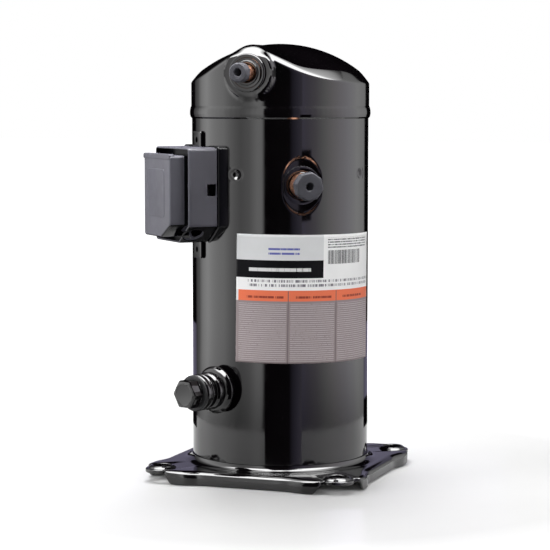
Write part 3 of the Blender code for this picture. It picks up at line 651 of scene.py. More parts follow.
def tube_fitting(prefix, place, body, seat, collar_r, tube_r, plug_r, sides, welded_on):
    """Collar, copper stub and rubber plug on one radial axis. A collar stands on the wall or lies in it."""
    at = on_shell(*place)
    way = outward(place[0])
    neck = extent(f"{prefix}_collar", way)[0]
    collar = [(tube_r + 0.3, neck, 0), (tube_r + 2, neck, 0)]
    if welded_on:
        collar += [
            (tube_r + 2, seat - 7, 0), (collar_r, seat - 7, 0), (collar_r, seat + 3.4, 1.6),
            (collar_r - 4.0, seat + 3.5, 0.5), (collar_r - 4.3, seat + 2.9, 0.3),
            (tube_r + 4.2, seat + 3.2, 0.5), (tube_r + 3.8, seat + 4.4, 0.6), (tube_r + 1.6, seat + 4.6, 0.8),
        ]
    else:
        collar += [
            (tube_r + 2, seat - 0.6, 0), (collar_r, seat - 0.6, 0), (collar_r, seat + 0.2, 0.2),
            (tube_r + 2.2, seat + 0.4, 0.6), (tube_r + 1.2, seat - 1.0, 0.3),
        ]
    collar = fillet(collar + [(tube_r + 0.3, seat - 0.5, 0)], steps=4)
    piece(f"{prefix}_boss", turned(collar), BLACK_THICK, [f"{prefix}_collar"], at)

    inner, end = extent(f"{prefix}_stub", way)
    bore = tube_r - STUB_T
    stub = fillet([
        (bore, inner, 0), (tube_r, inner, 0), (tube_r, end - 2.6, 0), (tube_r - 0.35, end - 2.2, 0.3),
        (tube_r - 0.35, end - 1.6, 0.3), (tube_r, end - 1.2, 0), (tube_r, end, 0.5), (bore, end, 0.4),
    ], steps=3)
    piece(f"{prefix}_tube", turned(stub), COPPER, [f"{prefix}_stub"], at, slot="copper_tube")

    spigot, tip = extent(f"{prefix}_plug", way)
    face = end + 0.35
    profile = fillet([
        (PLUG_HOLE_R, spigot, 0), (bore - 0.5, spigot, 0.8), (bore - 0.5, face, 0), (plug_r - 0.8, face, 0.3),
        (plug_r, face + 1.4, 0.8), (plug_r, tip - 1.4, 1.0), (plug_r - 1.4, tip, 1.0),
        (PLUG_HOLE_R + 1.0, tip, 0.2), (PLUG_HOLE_R + 0.1, tip - 0.8, 0.4),
    ], steps=4)
    loops = []
    for radius, w in profile:
        share = 0.8 * smooth(radius, bore + 0.4, plug_r - 0.6)
        loops.append(faceted(radius, w, sides, share, turn=0.2))
    bm = skin(loops, wrap=True)
    piece(f"{prefix}_cap", bm, PLUG, [f"{prefix}_plug"], at, sharp=30, body=body, slot="plug_rubber")


# ---------------- oil fitting


def oil_fitting():
    """Flange on the shell, grooved adapter, sealing ring and hexagon plug."""
    at = on_shell(*OIL)
    way = outward(OIL[0])
    low, high = extent("oil_flange", way)
    lip = high - 8.2
    flange = fillet([
        (11, low, 0), (13.8, low, 0), (13.8, SHELL_R, 0), (17.0, SHELL_R - 0.6, 0),
        (15.2, SHELL_R + 1.4, 1.2), (15.2, lip, 0.8), (23.4, lip, 0.4), (24.3, lip + 1.0, 0.8),
        (24.3, lip + 3.6, 1.6), (22.0, lip + 6.4, 2.2), (20.6, high - 0.8, 0.8), (18.0, high, 0.5),
        (11, high, 0),
    ], steps=5)
    piece("oil_boss", turned(flange), BLACK_THICK, ["oil_flange"], at)

    low, high = extent("oil_adapter", way)
    start = extent("oil_flange", way)[1] + 0.2
    sleeve = fillet([
        (7, low, 0), (10.6, low, 0), (10.6, start, 0), (18.6, start, 0.5), (19.3, start + 1.2, 0.8),
        (19.3, start + 6.4, 1.4), (17.4, start + 8.8, 1.0), (14.5, start + 9.2, 1.0),
        (14.5, start + 11.6, 1.0), (18.3, start + 12.8, 1.2), (18.5, start + 15.8, 1.0),
        (17.6, start + 16.8, 0.5), (17.6, start + 17.8, 0.5), (18.5, start + 18.8, 1.0),
        (18.5, start + 22.4, 1.0), (17.5, start + 23.5, 0.6), (13, start + 23.5, 0),
        (13, high, 0.6), (7, high, 0),
    ], steps=4)
    piece("oil_sleeve", turned(sleeve), BLACK_THICK, ["oil_adapter"], at)

    low, high = extent("oil_seal_ring", way)
    ring = fillet([(13.4, low, 0.6), (18.4, low, 1.2), (18.4, high, 1.2), (13.4, high, 0.6)], steps=5)
    piece("oil_gasket", turned(ring), SEAL, ["oil_seal_ring"], at, slot="seal_rubber")

    stem_low, tip = extent("oil_plug", way)
    head_low = tip - 13.3
    across = 15.6
    rows = [
        (6.6, stem_low, 0.0), (6.6, head_low - 1.6, 0.0), (12.0, head_low - 1.5, 0.0), (13.2, head_low, 0.0),
        (across - 0.9, head_low + 0.3, 1.0), (across, head_low + 1.3, 1.0), (across, tip - 1.8, 1.0),
        (across - 0.8, tip - 0.6, 0.92), (12.4, tip, 0.3), (11.2, tip, 0.0), (10.4, tip - 0.5, 0.0),
        (4.0, tip - 0.9, 0.0), (0.4, tip - 0.9, 0.0),
    ]
    bm = skin([faceted(radius, w, 6, share) for radius, w, share in rows])
    piece("oil_hex_plug", bm, BLACK_THICK, ["oil_plug"], at, sharp=25)


# ---------------- terminal box


LID = {"body": "box_lid", "slot": "box_plastic"}
TRAY = {"slot": "box_plastic"}
LID_STEP = 17.2                # front block's depth
LID_WALL = 2.6
LID_SLANT = (26, 18)           # across and up
LID_HALF = 45
LID_LOW, LID_HIGH = -48.5, 48.8
BLOCK_HIGH = 41.3
GROOVE_DEPTH = 11.0
LATCH = (0, 12)                # low and high edge of the latch window
CONDUIT_R = 10.5
CONDUIT_AT = (32, -39.5, 112.5)
TRAY_LOW, TRAY_HIGH = 78, 90.8


def box_outline(half_across, low, high, cut_across, cut_up, top_r, low_r):
    """Upright outline with small corners and a large slant at the lower right one."""
    return fillet([
        (-half_across, low, top_r), (half_across - cut_across, low, low_r),
        (half_across, low + cut_up, low_r), (half_across, high, top_r), (-half_across, high, top_r),
    ], steps=6)


def strip(half, length):
    return [(-half, -length), (half, -length), (half, length), (-half, length)]


def lid_mesh(back, face):
    """Open shell of the cover. Faces in the groove and faces pointing down take the second material,
    near-black plastic as painted shade.
    """
    step = face - LID_STEP
    rear = box_outline(LID_HALF, LID_LOW, LID_HIGH, *LID_SLANT, 4, 5)
    front = fillet([
        (-34, -42.5, 3.5), (11.5, -42.5, 5), (36.5, -29.2, 5), (36.5, BLOCK_HIGH, 3.5),
        (-34, BLOCK_HIGH, 3.5),
    ], steps=6)
    outer = [(rear, 0.6, back), (rear, 0.0, back + 0.8), (rear, 0.0, back + 14), (rear, 0.0, step - 4.2)]
    outer += rolled(rear, 1.6, step)
    # Row pairs in the groove: their faces take the near-black plastic as painted shade
    shaded_groove_rows = range(len(outer), len(outer) + 3)
    outer += [
        (rear, 2.0, step - 0.3), (rear, 2.4, step - GROOVE_DEPTH), (front, 0.8, step - GROOVE_DEPTH),
        (front, 0.4, step + 1.0), (front, 0.0, face - 2.2),
    ]
    outer += rolled(front, 2.2, face)
    inner = [
        (front, 3.4, face - LID_WALL), (front, 3.4, step - 13.2), (rear, 5.0, step - 13.4),
        (rear, LID_WALL, step - 15), (rear, LID_WALL, back),
    ]
    bm = bmesh.new()
    rows = [[bm.verts.new(p) for p in raised(inset(outline, off), w)] for outline, off, w in outer + inner]
    join = len(outer) - 1
    pairs = [(rows[k], rows[k + 1]) for k in range(len(rows) - 1) if k != join] + [(rows[-1], rows[0])]
    for k, (low, high) in enumerate(pairs):
        for i in range(len(low)):
            j = (i + 1) % len(low)
            side = bm.faces.new((low[i], low[j], high[j], high[i]))
            side.material_index = int(k in shaded_groove_rows)
    bm.faces.new(rows[join])
    bm.faces.new(list(reversed(rows[join + 1])))
    bmesh.ops.recalc_face_normals(bm, faces=bm.faces[:])
    # Faces pointing down also take the near-black plastic, as painted shade
    for side in bm.faces:
        side.normal_update()
        if side.normal.y < -0.55:
            side.material_index = 1
    return bm


def box_cover():
    """Two-step cover, open at the back. The front block stands behind a groove, painted dark as shade like
    the cover's underside.
    """
    at = on_shell(*TERMINAL)
    back, face = extent("terminal_box_cover", outward(TERMINAL[0]))
    bm = lid_mesh(back, face)
    # The second look is painted shade: the groove and the underside take the near-black tray plastic
    looks = [BOX, BASE_PLASTIC]
    lid = piece("box_lid_shell", bm, looks, ["terminal_box_cover"], at, sharp=28, **LID)

    slope = math.atan2(LID_SLANT[1], LID_SLANT[0])
    upright = Matrix.Rotation(math.radians(90), 4, "X")
    lean = Matrix.Translation(CONDUIT_AT) @ Matrix.Rotation(slope, 4, "Z") @ upright
    conduit = slab(circle(CONDUIT_R, 64, 0.03), -9, 9)
    conduit.transform(lean)
    strap_slots = slab(strip(17, 60), 84, back + 4.2)
    low, high = LATCH
    window = slab([(40, low), (60, low), (60, high), (40, high)], back + 1.1, back + 11.1)
    carve(lid, [conduit, strap_slots, window], at, sharp=28)

    ring = fillet([(10.6, -1.2, 0), (11.9, -1.2, 0), (11.9, 0.9, 0.6), (10.6, 0.9, 0.4)], steps=4)
    bm = turned(ring)
    bm.transform(lean)
    # The rim takes the near-black plastic to match the painted shade on the cover's underside
    piece("conduit_rim", bm, BASE_PLASTIC, place=at, **LID)

    top = BLOCK_HIGH
    brim = fillet([
        (-35.6, top - 4.2, 1.2), (-33, top - 4.6, 0), (33, top - 4.6, 0), (35.6, top - 4.2, 1.2),
        (35.6, top + 0.4, 2.6), (33, top + 1.2, 1.5), (-33, top + 1.2, 1.5), (-35.6, top + 0.4, 2.6),
    ], steps=5)
    piece("lid_lip", slab(brim, face - 6.0, face + 0.3, edge=0.9), BOX, place=at, **LID)

    panel = fillet([(-22, -22, 3), (22, -22, 3), (22, 27, 3), (-22, 27, 3)], steps=5)
    bm = slab(panel, face - 1.5, face + 0.45, edge=0.4)
    piece("lid_panel", bm, BOX, place=at, **LID)


def box_base():
    """Tray that hugs the shell behind the cover, with its lip inside the cover."""
    at = on_shell(*TERMINAL)
    skirt = box_outline(46.5, -50.2, 50.5, 26, 18, 5, 7)
    bm = slab(skirt, TRAY_LOW, TRAY_HIGH, edge=1.6, steps=5)
    tray = piece("box_tray", bm, BASE_PLASTIC, ["terminal_box_base"], at, sharp=30, **TRAY)
    inside = box_outline(38.8, -42.4, 42.7, 23, 14, 3, 4)
    tools = [slab(inside, 60, 88.2), slab(circle(25.4, FINE), 60, 120), slab(strip(11, 70), 60, 96)]
    carve(tray, tools, at, sharp=30)
    carve(tray, [slab(circle(SHELL_R + 0.5, 256), 200, 400)], sharp=30)
    tongue = box_outline(41.6, -45.2, 45.5, 24, 16.4, 3, 4)
    rows = ((0.0, 90.0), (0.0, 97.4), (0.6, 98.0), (2.4, 98.0), (2.4, 90.0))
    hoop = skin([raised(inset(tongue, off), w) for off, w in rows], wrap=True)
    lip = piece("box_tray_lip", hoop, BASE_PLASTIC, place=at, sharp=30, **TRAY)
    low, high = LATCH
    carve(lip, [slab([(30, low), (50, low), (50, high), (30, high)], 91.5, 99)], at, sharp=30)


def brackets():
    """Slotted straps above and below the terminal box."""
    at = on_shell(*TERMINAL)
    for end in ("upper", "lower"):
        name, part = f"bracket_strap_{end}", f"box_bracket_{end}"
        low, high = (corner.z / MM - TERMINAL[1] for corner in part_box(part))
        near, far = extent(part, outward(TERMINAL[0]))
        plate = fillet([(-10.5, low, 3), (10.5, low, 3), (10.5, high, 3), (-10.5, high, 3)], steps=5)
        bm = slab(plate, near, far, edge=0.5)
        made = piece(name, bm, BLACK_FLAT, [part], at)
        slot_z = high - 9 if high > 0 else low + 9
        carve(made, [slab(circle(3.0, 32), 80, 110)], at @ Matrix.Translation((0, slot_z, 0)))


# ---------------- base


PLATE_T = 3.5
PLATE_TOP = 14.0
EAR_ROOT_R = 118               # inner end of the ears
RAISED_R = 103.0               # foot of the rise towards the shell
PLATE_HOLE_R = 84.0
EAR_R = 17.5
BOLT_HALF = 95.25
BOLT_HOLE_R = 9.5


def plate_controls():
    """One eighth of the plate's outline: (x, y, lowest z, shoulder radius, top z)."""
    top, shoulder, half = PLATE_TOP, 7.0, PLATE_REACH - 4.5
    side = [(half, y, 0.0, shoulder, top) for y in (0.0, 16.0, 31.0, 46.0)]
    side += [
        (PLATE_REACH - 1.5, 58.0, 0.0, shoulder, top),
        (PLATE_REACH, 66.0, 0.0, shoulder - 1, top),
        (PLATE_REACH, 76.0, 0.0, shoulder - 2, top),
        (PLATE_REACH - 0.4, 81.0, 4.5, 4.0, top - 0.2),
        (PLATE_REACH - 2.0, 84.2, 8.5, 2.5, top - 0.4),
        (PLATE_REACH - 7.7, 86.2, 8.5, 2.0, top - 0.8),
    ]
    for k in range(6):
        a = math.radians(-24 + 69 * k / 5)
        side.append((BOLT_HALF + EAR_R * math.cos(a), BOLT_HALF + EAR_R * math.sin(a), 8.5, 1.6, top - 1.0))
    return side


def closed_curve(points, between):
    """Catmull-Rom curve through closed control points, with steps between each two."""
    curve = []
    count = len(points)
    for i in range(count):
        p0, p1, p2, p3 = (points[(i + k) % count] for k in (-1, 0, 1, 2))
        for s in range(between):
            t = s / between
            curve.append(tuple(
                0.5 * (2 * b + (c - a) * t + (2 * a - 5 * b + 4 * c - d) * t * t
                       + (3 * b - a - 3 * c + d) * t**3)
                for a, b, c, d in zip(p0, p1, p2, p3)
            ))
    return curve


def base():
    """Pressed plate with a skirt, four ears and a raised middle, and a rim round each bolt hole."""
    octant = plate_controls()
    quarter = octant + [(y, x, *rest) for x, y, *rest in reversed(octant[1:-1])]
    points = []
    for c, s in ((1, 0), (0, 1), (-1, 0), (0, -1)):
        points += [(x * c - y * s, x * s + y * c, *rest) for x, y, *rest in quarter]
    points = closed_curve(points, 4)
    flat = [(p[0], p[1]) for p in points]
    foot = [max(0.0, p[2]) for p in points]
    shoulder = [max(1.2, p[3]) for p in points]
    top = [p[4] for p in points]
    bearings = [math.atan2(y, x) for x, y in flat]

    def ring(distances, heights):
        return [(x, y, z) for (x, y), z in zip(inset(flat, distances), heights)]

    def round_ring(radius, height):
        return [(radius * math.cos(b), radius * math.sin(b), height) for b in bearings]

    def root(heights):
        """Where the raised middle starts: along the skirt, but round behind the ears."""
        loop = []
        for b, (x, y), z, f in zip(bearings, inset(flat, 9.0), heights, foot):
            share = smooth(f, 4.0, 8.5)
            across, along = EAR_ROOT_R * math.cos(b) - x, EAR_ROOT_R * math.sin(b) - y
            loop.append((x + across * share, y + along * share, z))
        return loop

    loops = [ring(0.8, foot), ring(0.0, [f + 0.9 for f in foot])]
    for k in range(7):
        a = math.radians(90 * k / 6)
        run, rise = 1 - math.cos(a), 1 - math.sin(a)
        loops.append(ring([r * run for r in shoulder], [t - r * rise for t, r in zip(top, shoulder)]))
    edge, inner = root(top), round_ring(RAISED_R, PLATE_TOP)
    half_way = [tuple((a + b) / 2 for a, b in zip(start, end)) for start, end in zip(edge, inner)]
    loops += [edge, half_way, inner]
    for k in range(1, 7):
        a = math.radians(90 * k / 6)
        loops.append(round_ring(RAISED_R - 9.2 * math.sin(a), PLATE_TOP + 6.6 * (1 - math.cos(a))))
    seat = PLATE_TOP + 0.2
    loops += [round_ring(SHELL_R + 0.5, 20.4), round_ring(SHELL_R + 0.5, seat)]
    loops += [round_ring(PLATE_HOLE_R, seat), round_ring(PLATE_HOLE_R, seat - PLATE_T)]
    under = [t - PLATE_T for t in top]
    loops += [
        root(under),
        ring([max(PLATE_T, r) for r in shoulder], under),
        ring([PLATE_T if f < 6 else 1.4 for f in foot], [min(u, max(f, 6.0)) for u, f in zip(under, foot)]),
        ring([PLATE_T if f < 6 else 1.1 for f in foot], foot),
    ]
    bm = skin(loops, wrap=True)
    plate = piece("base_pressing", bm, BLACK_FLAT, ["base_plate"])
    rim = fillet([
        (BOLT_HOLE_R, 12.2, 0), (15.0, 12.6, 0), (13.2, 14.6, 1.4), (11.4, 16.0, 1.2),
        (BOLT_HOLE_R, 15.2, 0.9),
    ], steps=4)
    for sx, sy in ((1, 1), (-1, 1), (-1, -1), (1, -1)):
        corner = Matrix.Translation((sx * BOLT_HALF, sy * BOLT_HALF, 0))
        carve(plate, [slab(circle(BOLT_HOLE_R, 64, 0.03), -5, 25)], corner)
        name = f"hole_rim_{'rear' if sy > 0 else 'front'}_{'right' if sx > 0 else 'left'}"
        piece(name, turned(rim), BLACK_FLAT, place=corner)


def bottom_dish():
    """Dished cap that closes the shell from below."""
    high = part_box("bottom_cap")[1]
    dish_r, top = high.x / MM, high.z / MM
    dish = fillet([
        (0, 0, 0), (52, 0, 9), (71, 3.6, 12), (81, 8.8, 8), (83, 12.5, 0), (83, 14.4, 0),
        (dish_r - 1.5, 19, 2), (dish_r, 24, 2), (dish_r, top, 0), (dish_r - 3.2, top, 0),
        (dish_r - 3.2, 25, 2),
        (80.3, 16, 6), (77.6, 11.4, 6), (68.8, 6.7, 8), (51.5, 3.2, 8), (0, 3.2, 0),
    ], steps=6)
    piece("bottom_dish", turned(dish, 160), BLACK_FLAT, ["bottom_cap"])


# ---------------- label


def print_look(name, ground, ink=None, pitch=1.0, cover=0.5, share=0.5, across=1.0, columns=False):
    """Label film. Abstract ink strokes, in rows of the given pitch or in bars, cover part of it."""
    look = Look(name, roughness=0.4, IOR=1.45, Specular_IOR_Level=0.06)
    flat = look.split(look.node("ShaderNodeUVMap").outputs["UV"])
    along, up = flat["X"], flat["Y"]
    shade = look.mottled(look.noise(45, detail=3), ground, 0.95)
    if columns:
        where = look.node("ShaderNodeCombineXYZ", X=look.math("MULTIPLY", along, 1 / pitch), Y=0.5)
        bars = look.noise(2.2, detail=3, vector=where.outputs["Vector"])
        strokes = look.math("GREATER_THAN", bars, 1 - share)
    elif ink:
        row = look.math("MULTIPLY", up, 1 / pitch)
        within = look.math("SUBTRACT", look.math("FRACT", row), 0.5)
        line = look.math("LESS_THAN", look.math("ABSOLUTE", within), cover / 2)
        where = look.node("ShaderNodeCombineXYZ", X=look.math("MULTIPLY", along, across),
                          Y=look.math("MULTIPLY", look.math("FLOOR", row), 3.7))
        words = look.noise(1.0, detail=3, roughness=0.8, vector=where.outputs["Vector"])
        strokes = look.math("MULTIPLY", line, look.math("GREATER_THAN", words, 1 - share))
    look.set(Base_Color=look.mix(strokes, shade, ink) if ink else shade)
    look.rough(look.noise(120, detail=2), 0.32, 0.46)
    look.bump((look.noise(40, detail=2), 0.08, 0.1))
    return look.material


LABEL_FROM, LABEL_TO = -9.0, 96.0
LABEL_TILT = -0.8              # degrees by which it is stuck on askew
FILM_T = 0.2
GREY, WHITE, INK_BLACK = (0.72, 0.73, 0.74), (0.93, 0.93, 0.93), (0.004, 0.004, 0.005)
ORANGE, MAUVE, BLUE, RULE = (0.86, 0.2, 0.1), (0.3, 0.25, 0.255), (0.12, 0.13, 0.42), (0.16, 0.13, 0.135)


def label_looks():
    return {
        "grey": print_look("label_grey", GREY),
        "mark": print_look("label_mark", GREY, BLUE, 4.6, 0.45, 0.62, 0.8),
        "white": print_look("label_white", WHITE),
        "bars": print_look("label_bars", WHITE, (0.03, 0.03, 0.035), 1.0, share=0.52, columns=True),
        "small": print_look("label_small_print", WHITE, (0.1, 0.1, 0.11), 2.6, 0.5, 0.55, 1.1),
        "symbols": print_look("label_symbols", WHITE, (0.2, 0.19, 0.22), 4.4, 0.6, 0.5, 0.55),
        "black": print_look("label_black", INK_BLACK),
        "name": print_look("label_name_strip", INK_BLACK, (0.72, 0.72, 0.72), 7.0, 0.5, 0.6, 0.55),
        "orange": print_look("label_orange", ORANGE),
        "warn": print_look("label_orange_strip", ORANGE, (0.3, 0.06, 0.04), 5.0, 0.5, 0.55, 0.6),
        "mauve": print_look("label_mauve", MAUVE),
        "text": print_look("label_text", MAUVE, (0.48, 0.43, 0.44), 2.1, 0.42, 0.6, 0.9),
        "rule": print_look("label_rule", RULE),
    }


def label_blocks(length, height):
    """Blocks of the print: start and end along the label, start and end down from its top, and look."""
    blocks = [
        (0, length, 0, 26, "grey"), (34, 66, 13.5, 22.5, "mark"),
        (92, length, 0, 44, "white"), (97, length - 8, 3, 14, "small"), (97, 146, 16, 30, "bars"),
        (0, 92, 26, 44, "black"), (14, 78, 31.5, 39.5, "name"),
        (0, length, 44, 56.5, "white"), (13, length - 4, 45.5, 54, "symbols"),
        (2.5, length - 1, 56.5, 67.5, "orange"), (0, length, 67.5, height, "mauve"),
    ]
    blocks += [(start, end, 60, 64.5, "warn") for start, end in ((12, 50), (62, 102), (116, 150))]
    blocks += [(start, end, 70, height - 2, "text") for start, end in ((3, 53), (57, 106), (110, length - 3))]
    blocks += [(start, start + 0.8, 57, height, "rule") for start in (54.4, 107.6)]
    return blocks


def label():
    """Printed film round the shell, in blocks of plain colour with abstract print."""
    low_z, high_z = (round(corner.z / MM, 6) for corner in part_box("nameplate_label"))
    radius = SHELL_R + 0.25
    length = math.radians(LABEL_TO - LABEL_FROM) * radius
    looks = label_looks()
    order = list(looks)
    blocks = [(s0, s1, round(high_z - down1, 6), round(high_z - down0, 6), kind)
              for s0, s1, down0, down1, kind in label_blocks(length, high_z - low_z)]
    cuts_s = {0.0, length, *[b[0] for b in blocks], *[b[1] for b in blocks]}
    cuts_s = sorted({*cuts_s, *[length * k / 84 for k in range(85)]})
    cuts_z = sorted({low_z, high_z, *[b[2] for b in blocks], *[b[3] for b in blocks]})
    tilt = math.radians(LABEL_TILT)
    bm = bmesh.new()
    uv = bm.loops.layers.uv.new("print")

    def spot(s, z):
        ds, dz = s - length / 2, z - (low_z + high_z) / 2
        turned_s = length / 2 + ds * math.cos(tilt) - dz * math.sin(tilt)
        turned_z = (low_z + high_z) / 2 + ds * math.sin(tilt) + dz * math.cos(tilt)
        bearing = LABEL_FROM + math.degrees(turned_s / radius)
        return tuple(outward(bearing) * radius + Vector((0, 0, turned_z)))

    verts = [[bm.verts.new(spot(s, z)) for s in cuts_s] for z in cuts_z]
    for j in range(len(cuts_z) - 1):
        for i in range(len(cuts_s) - 1):
            corners = ((j, i), (j, i + 1), (j + 1, i + 1), (j + 1, i))
            face = bm.faces.new([verts[a][b] for a, b in corners])
            for loop, (a, b) in zip(face.loops, corners):
                loop[uv].uv = (cuts_s[b], cuts_z[a])
            mid_s, mid_z = (cuts_s[i] + cuts_s[i + 1]) / 2, (cuts_z[j] + cuts_z[j + 1]) / 2
            for s0, s1, z0, z1, kind in blocks:
                if s0 <= mid_s <= s1 and z0 <= mid_z <= z1:
                    face.material_index = order.index(kind)
    made = piece("label_film", bm, [looks[k] for k in order], ["nameplate_label"], slot="label_film")
    thick = made.modifiers.new("film", "SOLIDIFY")
    thick.thickness = FILM_T * MM
    thick.offset = -1


# ---------------- CAD nodes that show as they are


KEPT = {
    BLACK_THICK: ["muffler_plate"],
    BLOCK: ["terminal_block"],
    SEAL: ["terminal_gasket"],
    BRASS: ["ground_screw", *[f"terminal_pin_{k}" for k in (1, 2, 3)]],
    STEEL: [
        "terminal_feedthrough", "counterweight_upper", "counterweight_lower", "crankshaft", "oil_pickup",
        "check_valve_disc", "check_valve_cage", *[f"scroll_bolt_{k}" for k in (1, 2, 3, 4)],
    ],
    BRONZE: ["drive_bush", "lower_bearing_bush", "main_bearing_bush", "orbit_bearing_bush"],
    IRON: ["lower_bearing_housing", "main_bearing_housing", "fixed_scroll"],
    ALUMINIUM: ["orbiting_scroll", "oldham_ring"],
    POLYMER: ["floating_seal"],
    laminations(): ["stator_core", "rotor_core"],
    wound_wire(): ["winding_lower", "winding_upper"],
}


def dress_kept_nodes():
    for look, names in KEPT.items():
        for name in names:
            materials = frame["nodes"][name].data.materials
            materials.clear()
            materials.append(look)


# ---------------- studio


CAMERA_BEARING = 20.03
CAMERA_AWAY = 2.132
CAMERA_HEIGHT = 0.3983
CAMERA_ASIDE = -0.0055
CAMERA_DOWN = 5.11             # degrees below the level
CAMERA_LENS = 132.8
SENSOR = 36
GLOW_TOP = 4.0                 # brightness that a full colour stands for in a sheet of light
SKY = 0.5                      # brightness of the room above the horizon, for what is matt

# Brightness of the soft wall, by the angle from the camera's direction, positive to the camera's right
WALL_ROUND = [
    (-180, 0.0), (-150, 0.0), (-140, 0.12), (-128, 0.5), (-118, 1.7), (-106, 2.9), (-90, 2.75), (-76, 2.65),
    (-63, 1.8), (-51, 1.3), (-40, 1.6), (-29, 2.6), (-23, 2.6), (-20, 0.5), (-17, 0.02), (9, 0.02),
    (13, 0.19), (23, (0.8, 0.75, 1.1)), (34, (0.87, 0.8, 1.0)), (45, (1.15, 1.08, 1.2)), (57, 1.7),
    (69, (2.2, 2.1, 2.15)), (82, (2.4, 2.3, 2.45)), (97, (2.35, 2.3, 2.45)), (114, 1.9), (126, 1.2),
    (137, 0.75), (145, 0.1), (150, 0.0), (180, 0.0),
]
WALL_UP = [(0.0, 0.45), (0.05, 0.7), (0.1, 0.88), (0.2, 0.97), (0.3, 1.0), (1.0, 1.0)]
# Distance, height and share of WALL_UP: over the floor to the wall's foot, and then up it
WALL_ROWS = [(0.42, 0.001, 0.0), (1.0, 0.001, 0.1), (1.5, 0.001, 0.2), (1.5, 0.15, 0.3), (1.5, 2.0, 1.0)]

OVERHEAD_ACROSS = [
    (0.0, 0.0), (0.08, 0.15), (0.2, 0.8), (0.35, 1.0), (0.72, 1.0), (0.84, 0.6), (0.95, 0.1), (1.0, 0.0),
]
OVERHEAD_ALONG = [(0.0, 0.0), (0.1, 0.03), (0.3, 0.25), (0.44, 0.8), (0.55, 1.0), (0.85, 1.0), (1.0, 0.0)]
OVERHEAD_HEIGHT = 1.65
OVERHEAD_PEAK = 24.0

# Shades of the dark cards, from black to a dull violet
CARD_SHADES = [
    (0.0, 0.0), (0.64, 0.02), (0.72, (0.19, 0.18, 0.26)), (0.9, (0.45, 0.42, 0.58)), (1.0, (0.6, 0.55, 0.68)),
]

# Area lights: size, power, angle from the camera's direction, distance, height, and height aimed at
AREAS = {
    "overhead": ((1.3, 1.3), 44, 190, 0.75, 1.6, 0.1),
    "left_key": ((0.8, 1.2), 19, -78, 1.4, 0.75, 0.3),
    "right_fill": ((0.8, 1.2), 8, 60, 1.4, 0.7, 0.3),
    "front_fill": ((0.8, 0.8), 11, 0, 2.0, 0.35, 0.3),
}


def across_view():
    """Unit vector to the camera's right."""
    b = math.radians(CAMERA_BEARING)
    return Vector((math.cos(b), math.sin(b), 0))


def from_view(angle, distance, height):
    """Place at an angle from the camera's direction, positive to the camera's right, in metres."""
    return outward(CAMERA_BEARING + angle) * distance + Vector((0, 0, height))


def camera():
    data = bpy.data.cameras.new("camera")
    data.lens = CAMERA_LENS
    data.sensor_width = SENSOR
    data.clip_end = 50
    obj = added("camera", data)
    obj.location = from_view(0, CAMERA_AWAY, CAMERA_HEIGHT) + across_view() * CAMERA_ASIDE
    obj.rotation_euler = (math.radians(90 - CAMERA_DOWN), 0, math.radians(CAMERA_BEARING))
    bpy.context.scene.camera = obj


def glow(name, across, up, peak=1.0):
    """Emission that follows the sheet's own position: U round or across it, V up it."""
    material = bpy.data.materials.new(name)
    graph = Graph(material)
    graph.nodes.clear()
    place = graph.split(graph.node("ShaderNodeUVMap").outputs["UV"])
    tints = []
    for at, colour in across:
        rgb = (colour,) * 3 if isinstance(colour, float) else colour
        tints.append((at, tuple(c / GLOW_TOP for c in rgb)))
    strength = graph.math("MULTIPLY", graph.ramp(place["Y"], up), GLOW_TOP * peak)
    shine = graph.node("ShaderNodeEmission", Color=graph.ramp(place["X"], tints), Strength=strength)
    graph.node("ShaderNodeOutputMaterial", Surface=shine.outputs["Emission"])
    return material


def sheet_of_light(name, rows, material):
    """A lit or dark sheet that only reflections see. Rows are lists of (point, u, v)."""
    bm = bmesh.new()
    uv = bm.loops.layers.uv.new("sheet")
    verts = [[bm.verts.new(p) for p, _, _ in row] for row in rows]
    for j in range(len(rows) - 1):
        for i in range(len(rows[0]) - 1):
            corners = ((j, i), (j, i + 1), (j + 1, i + 1), (j + 1, i))
            face = bm.faces.new([verts[a][b] for a, b in corners])
            for loop, (a, b) in zip(face.loops, corners):
                loop[uv].uv = rows[a][b][1:]
    mesh = bpy.data.meshes.new(name)
    bm.to_mesh(mesh)
    bm.free()
    mesh.materials.append(material)
    obj = added(name, mesh)
    for seen_by in ("camera", "diffuse", "transmission", "volume_scatter", "shadow"):
        setattr(obj, f"visible_{seen_by}", False)


def soft_wall():
    """Soft walls to both sides that start on the floor, dark in front and behind."""
    wall = glow("soft_wall", [((a + 180) / 360, c) for a, c in WALL_ROUND], WALL_UP)
    rows = []
    for away, z, v in WALL_ROWS:
        rows.append([(from_view(a, away, z), (a + 180) / 360, v) for a in range(-180, 181, 4)])
    sheet_of_light("wall_of_light", rows, wall)


def overhead_box():
    box = glow("overhead_soft_box", OVERHEAD_ACROSS, OVERHEAD_ALONG, peak=OVERHEAD_PEAK)
    rows = []
    for away, v in ((-1.1, 0.0), (1.3, 1.0)):
        centre = from_view(0, away, OVERHEAD_HEIGHT)
        rows.append([(centre + across_view() * s, u, v) for s, u in ((-2.3, 0), (2.5, 1))])
    sheet_of_light("overhead_box", rows, box)


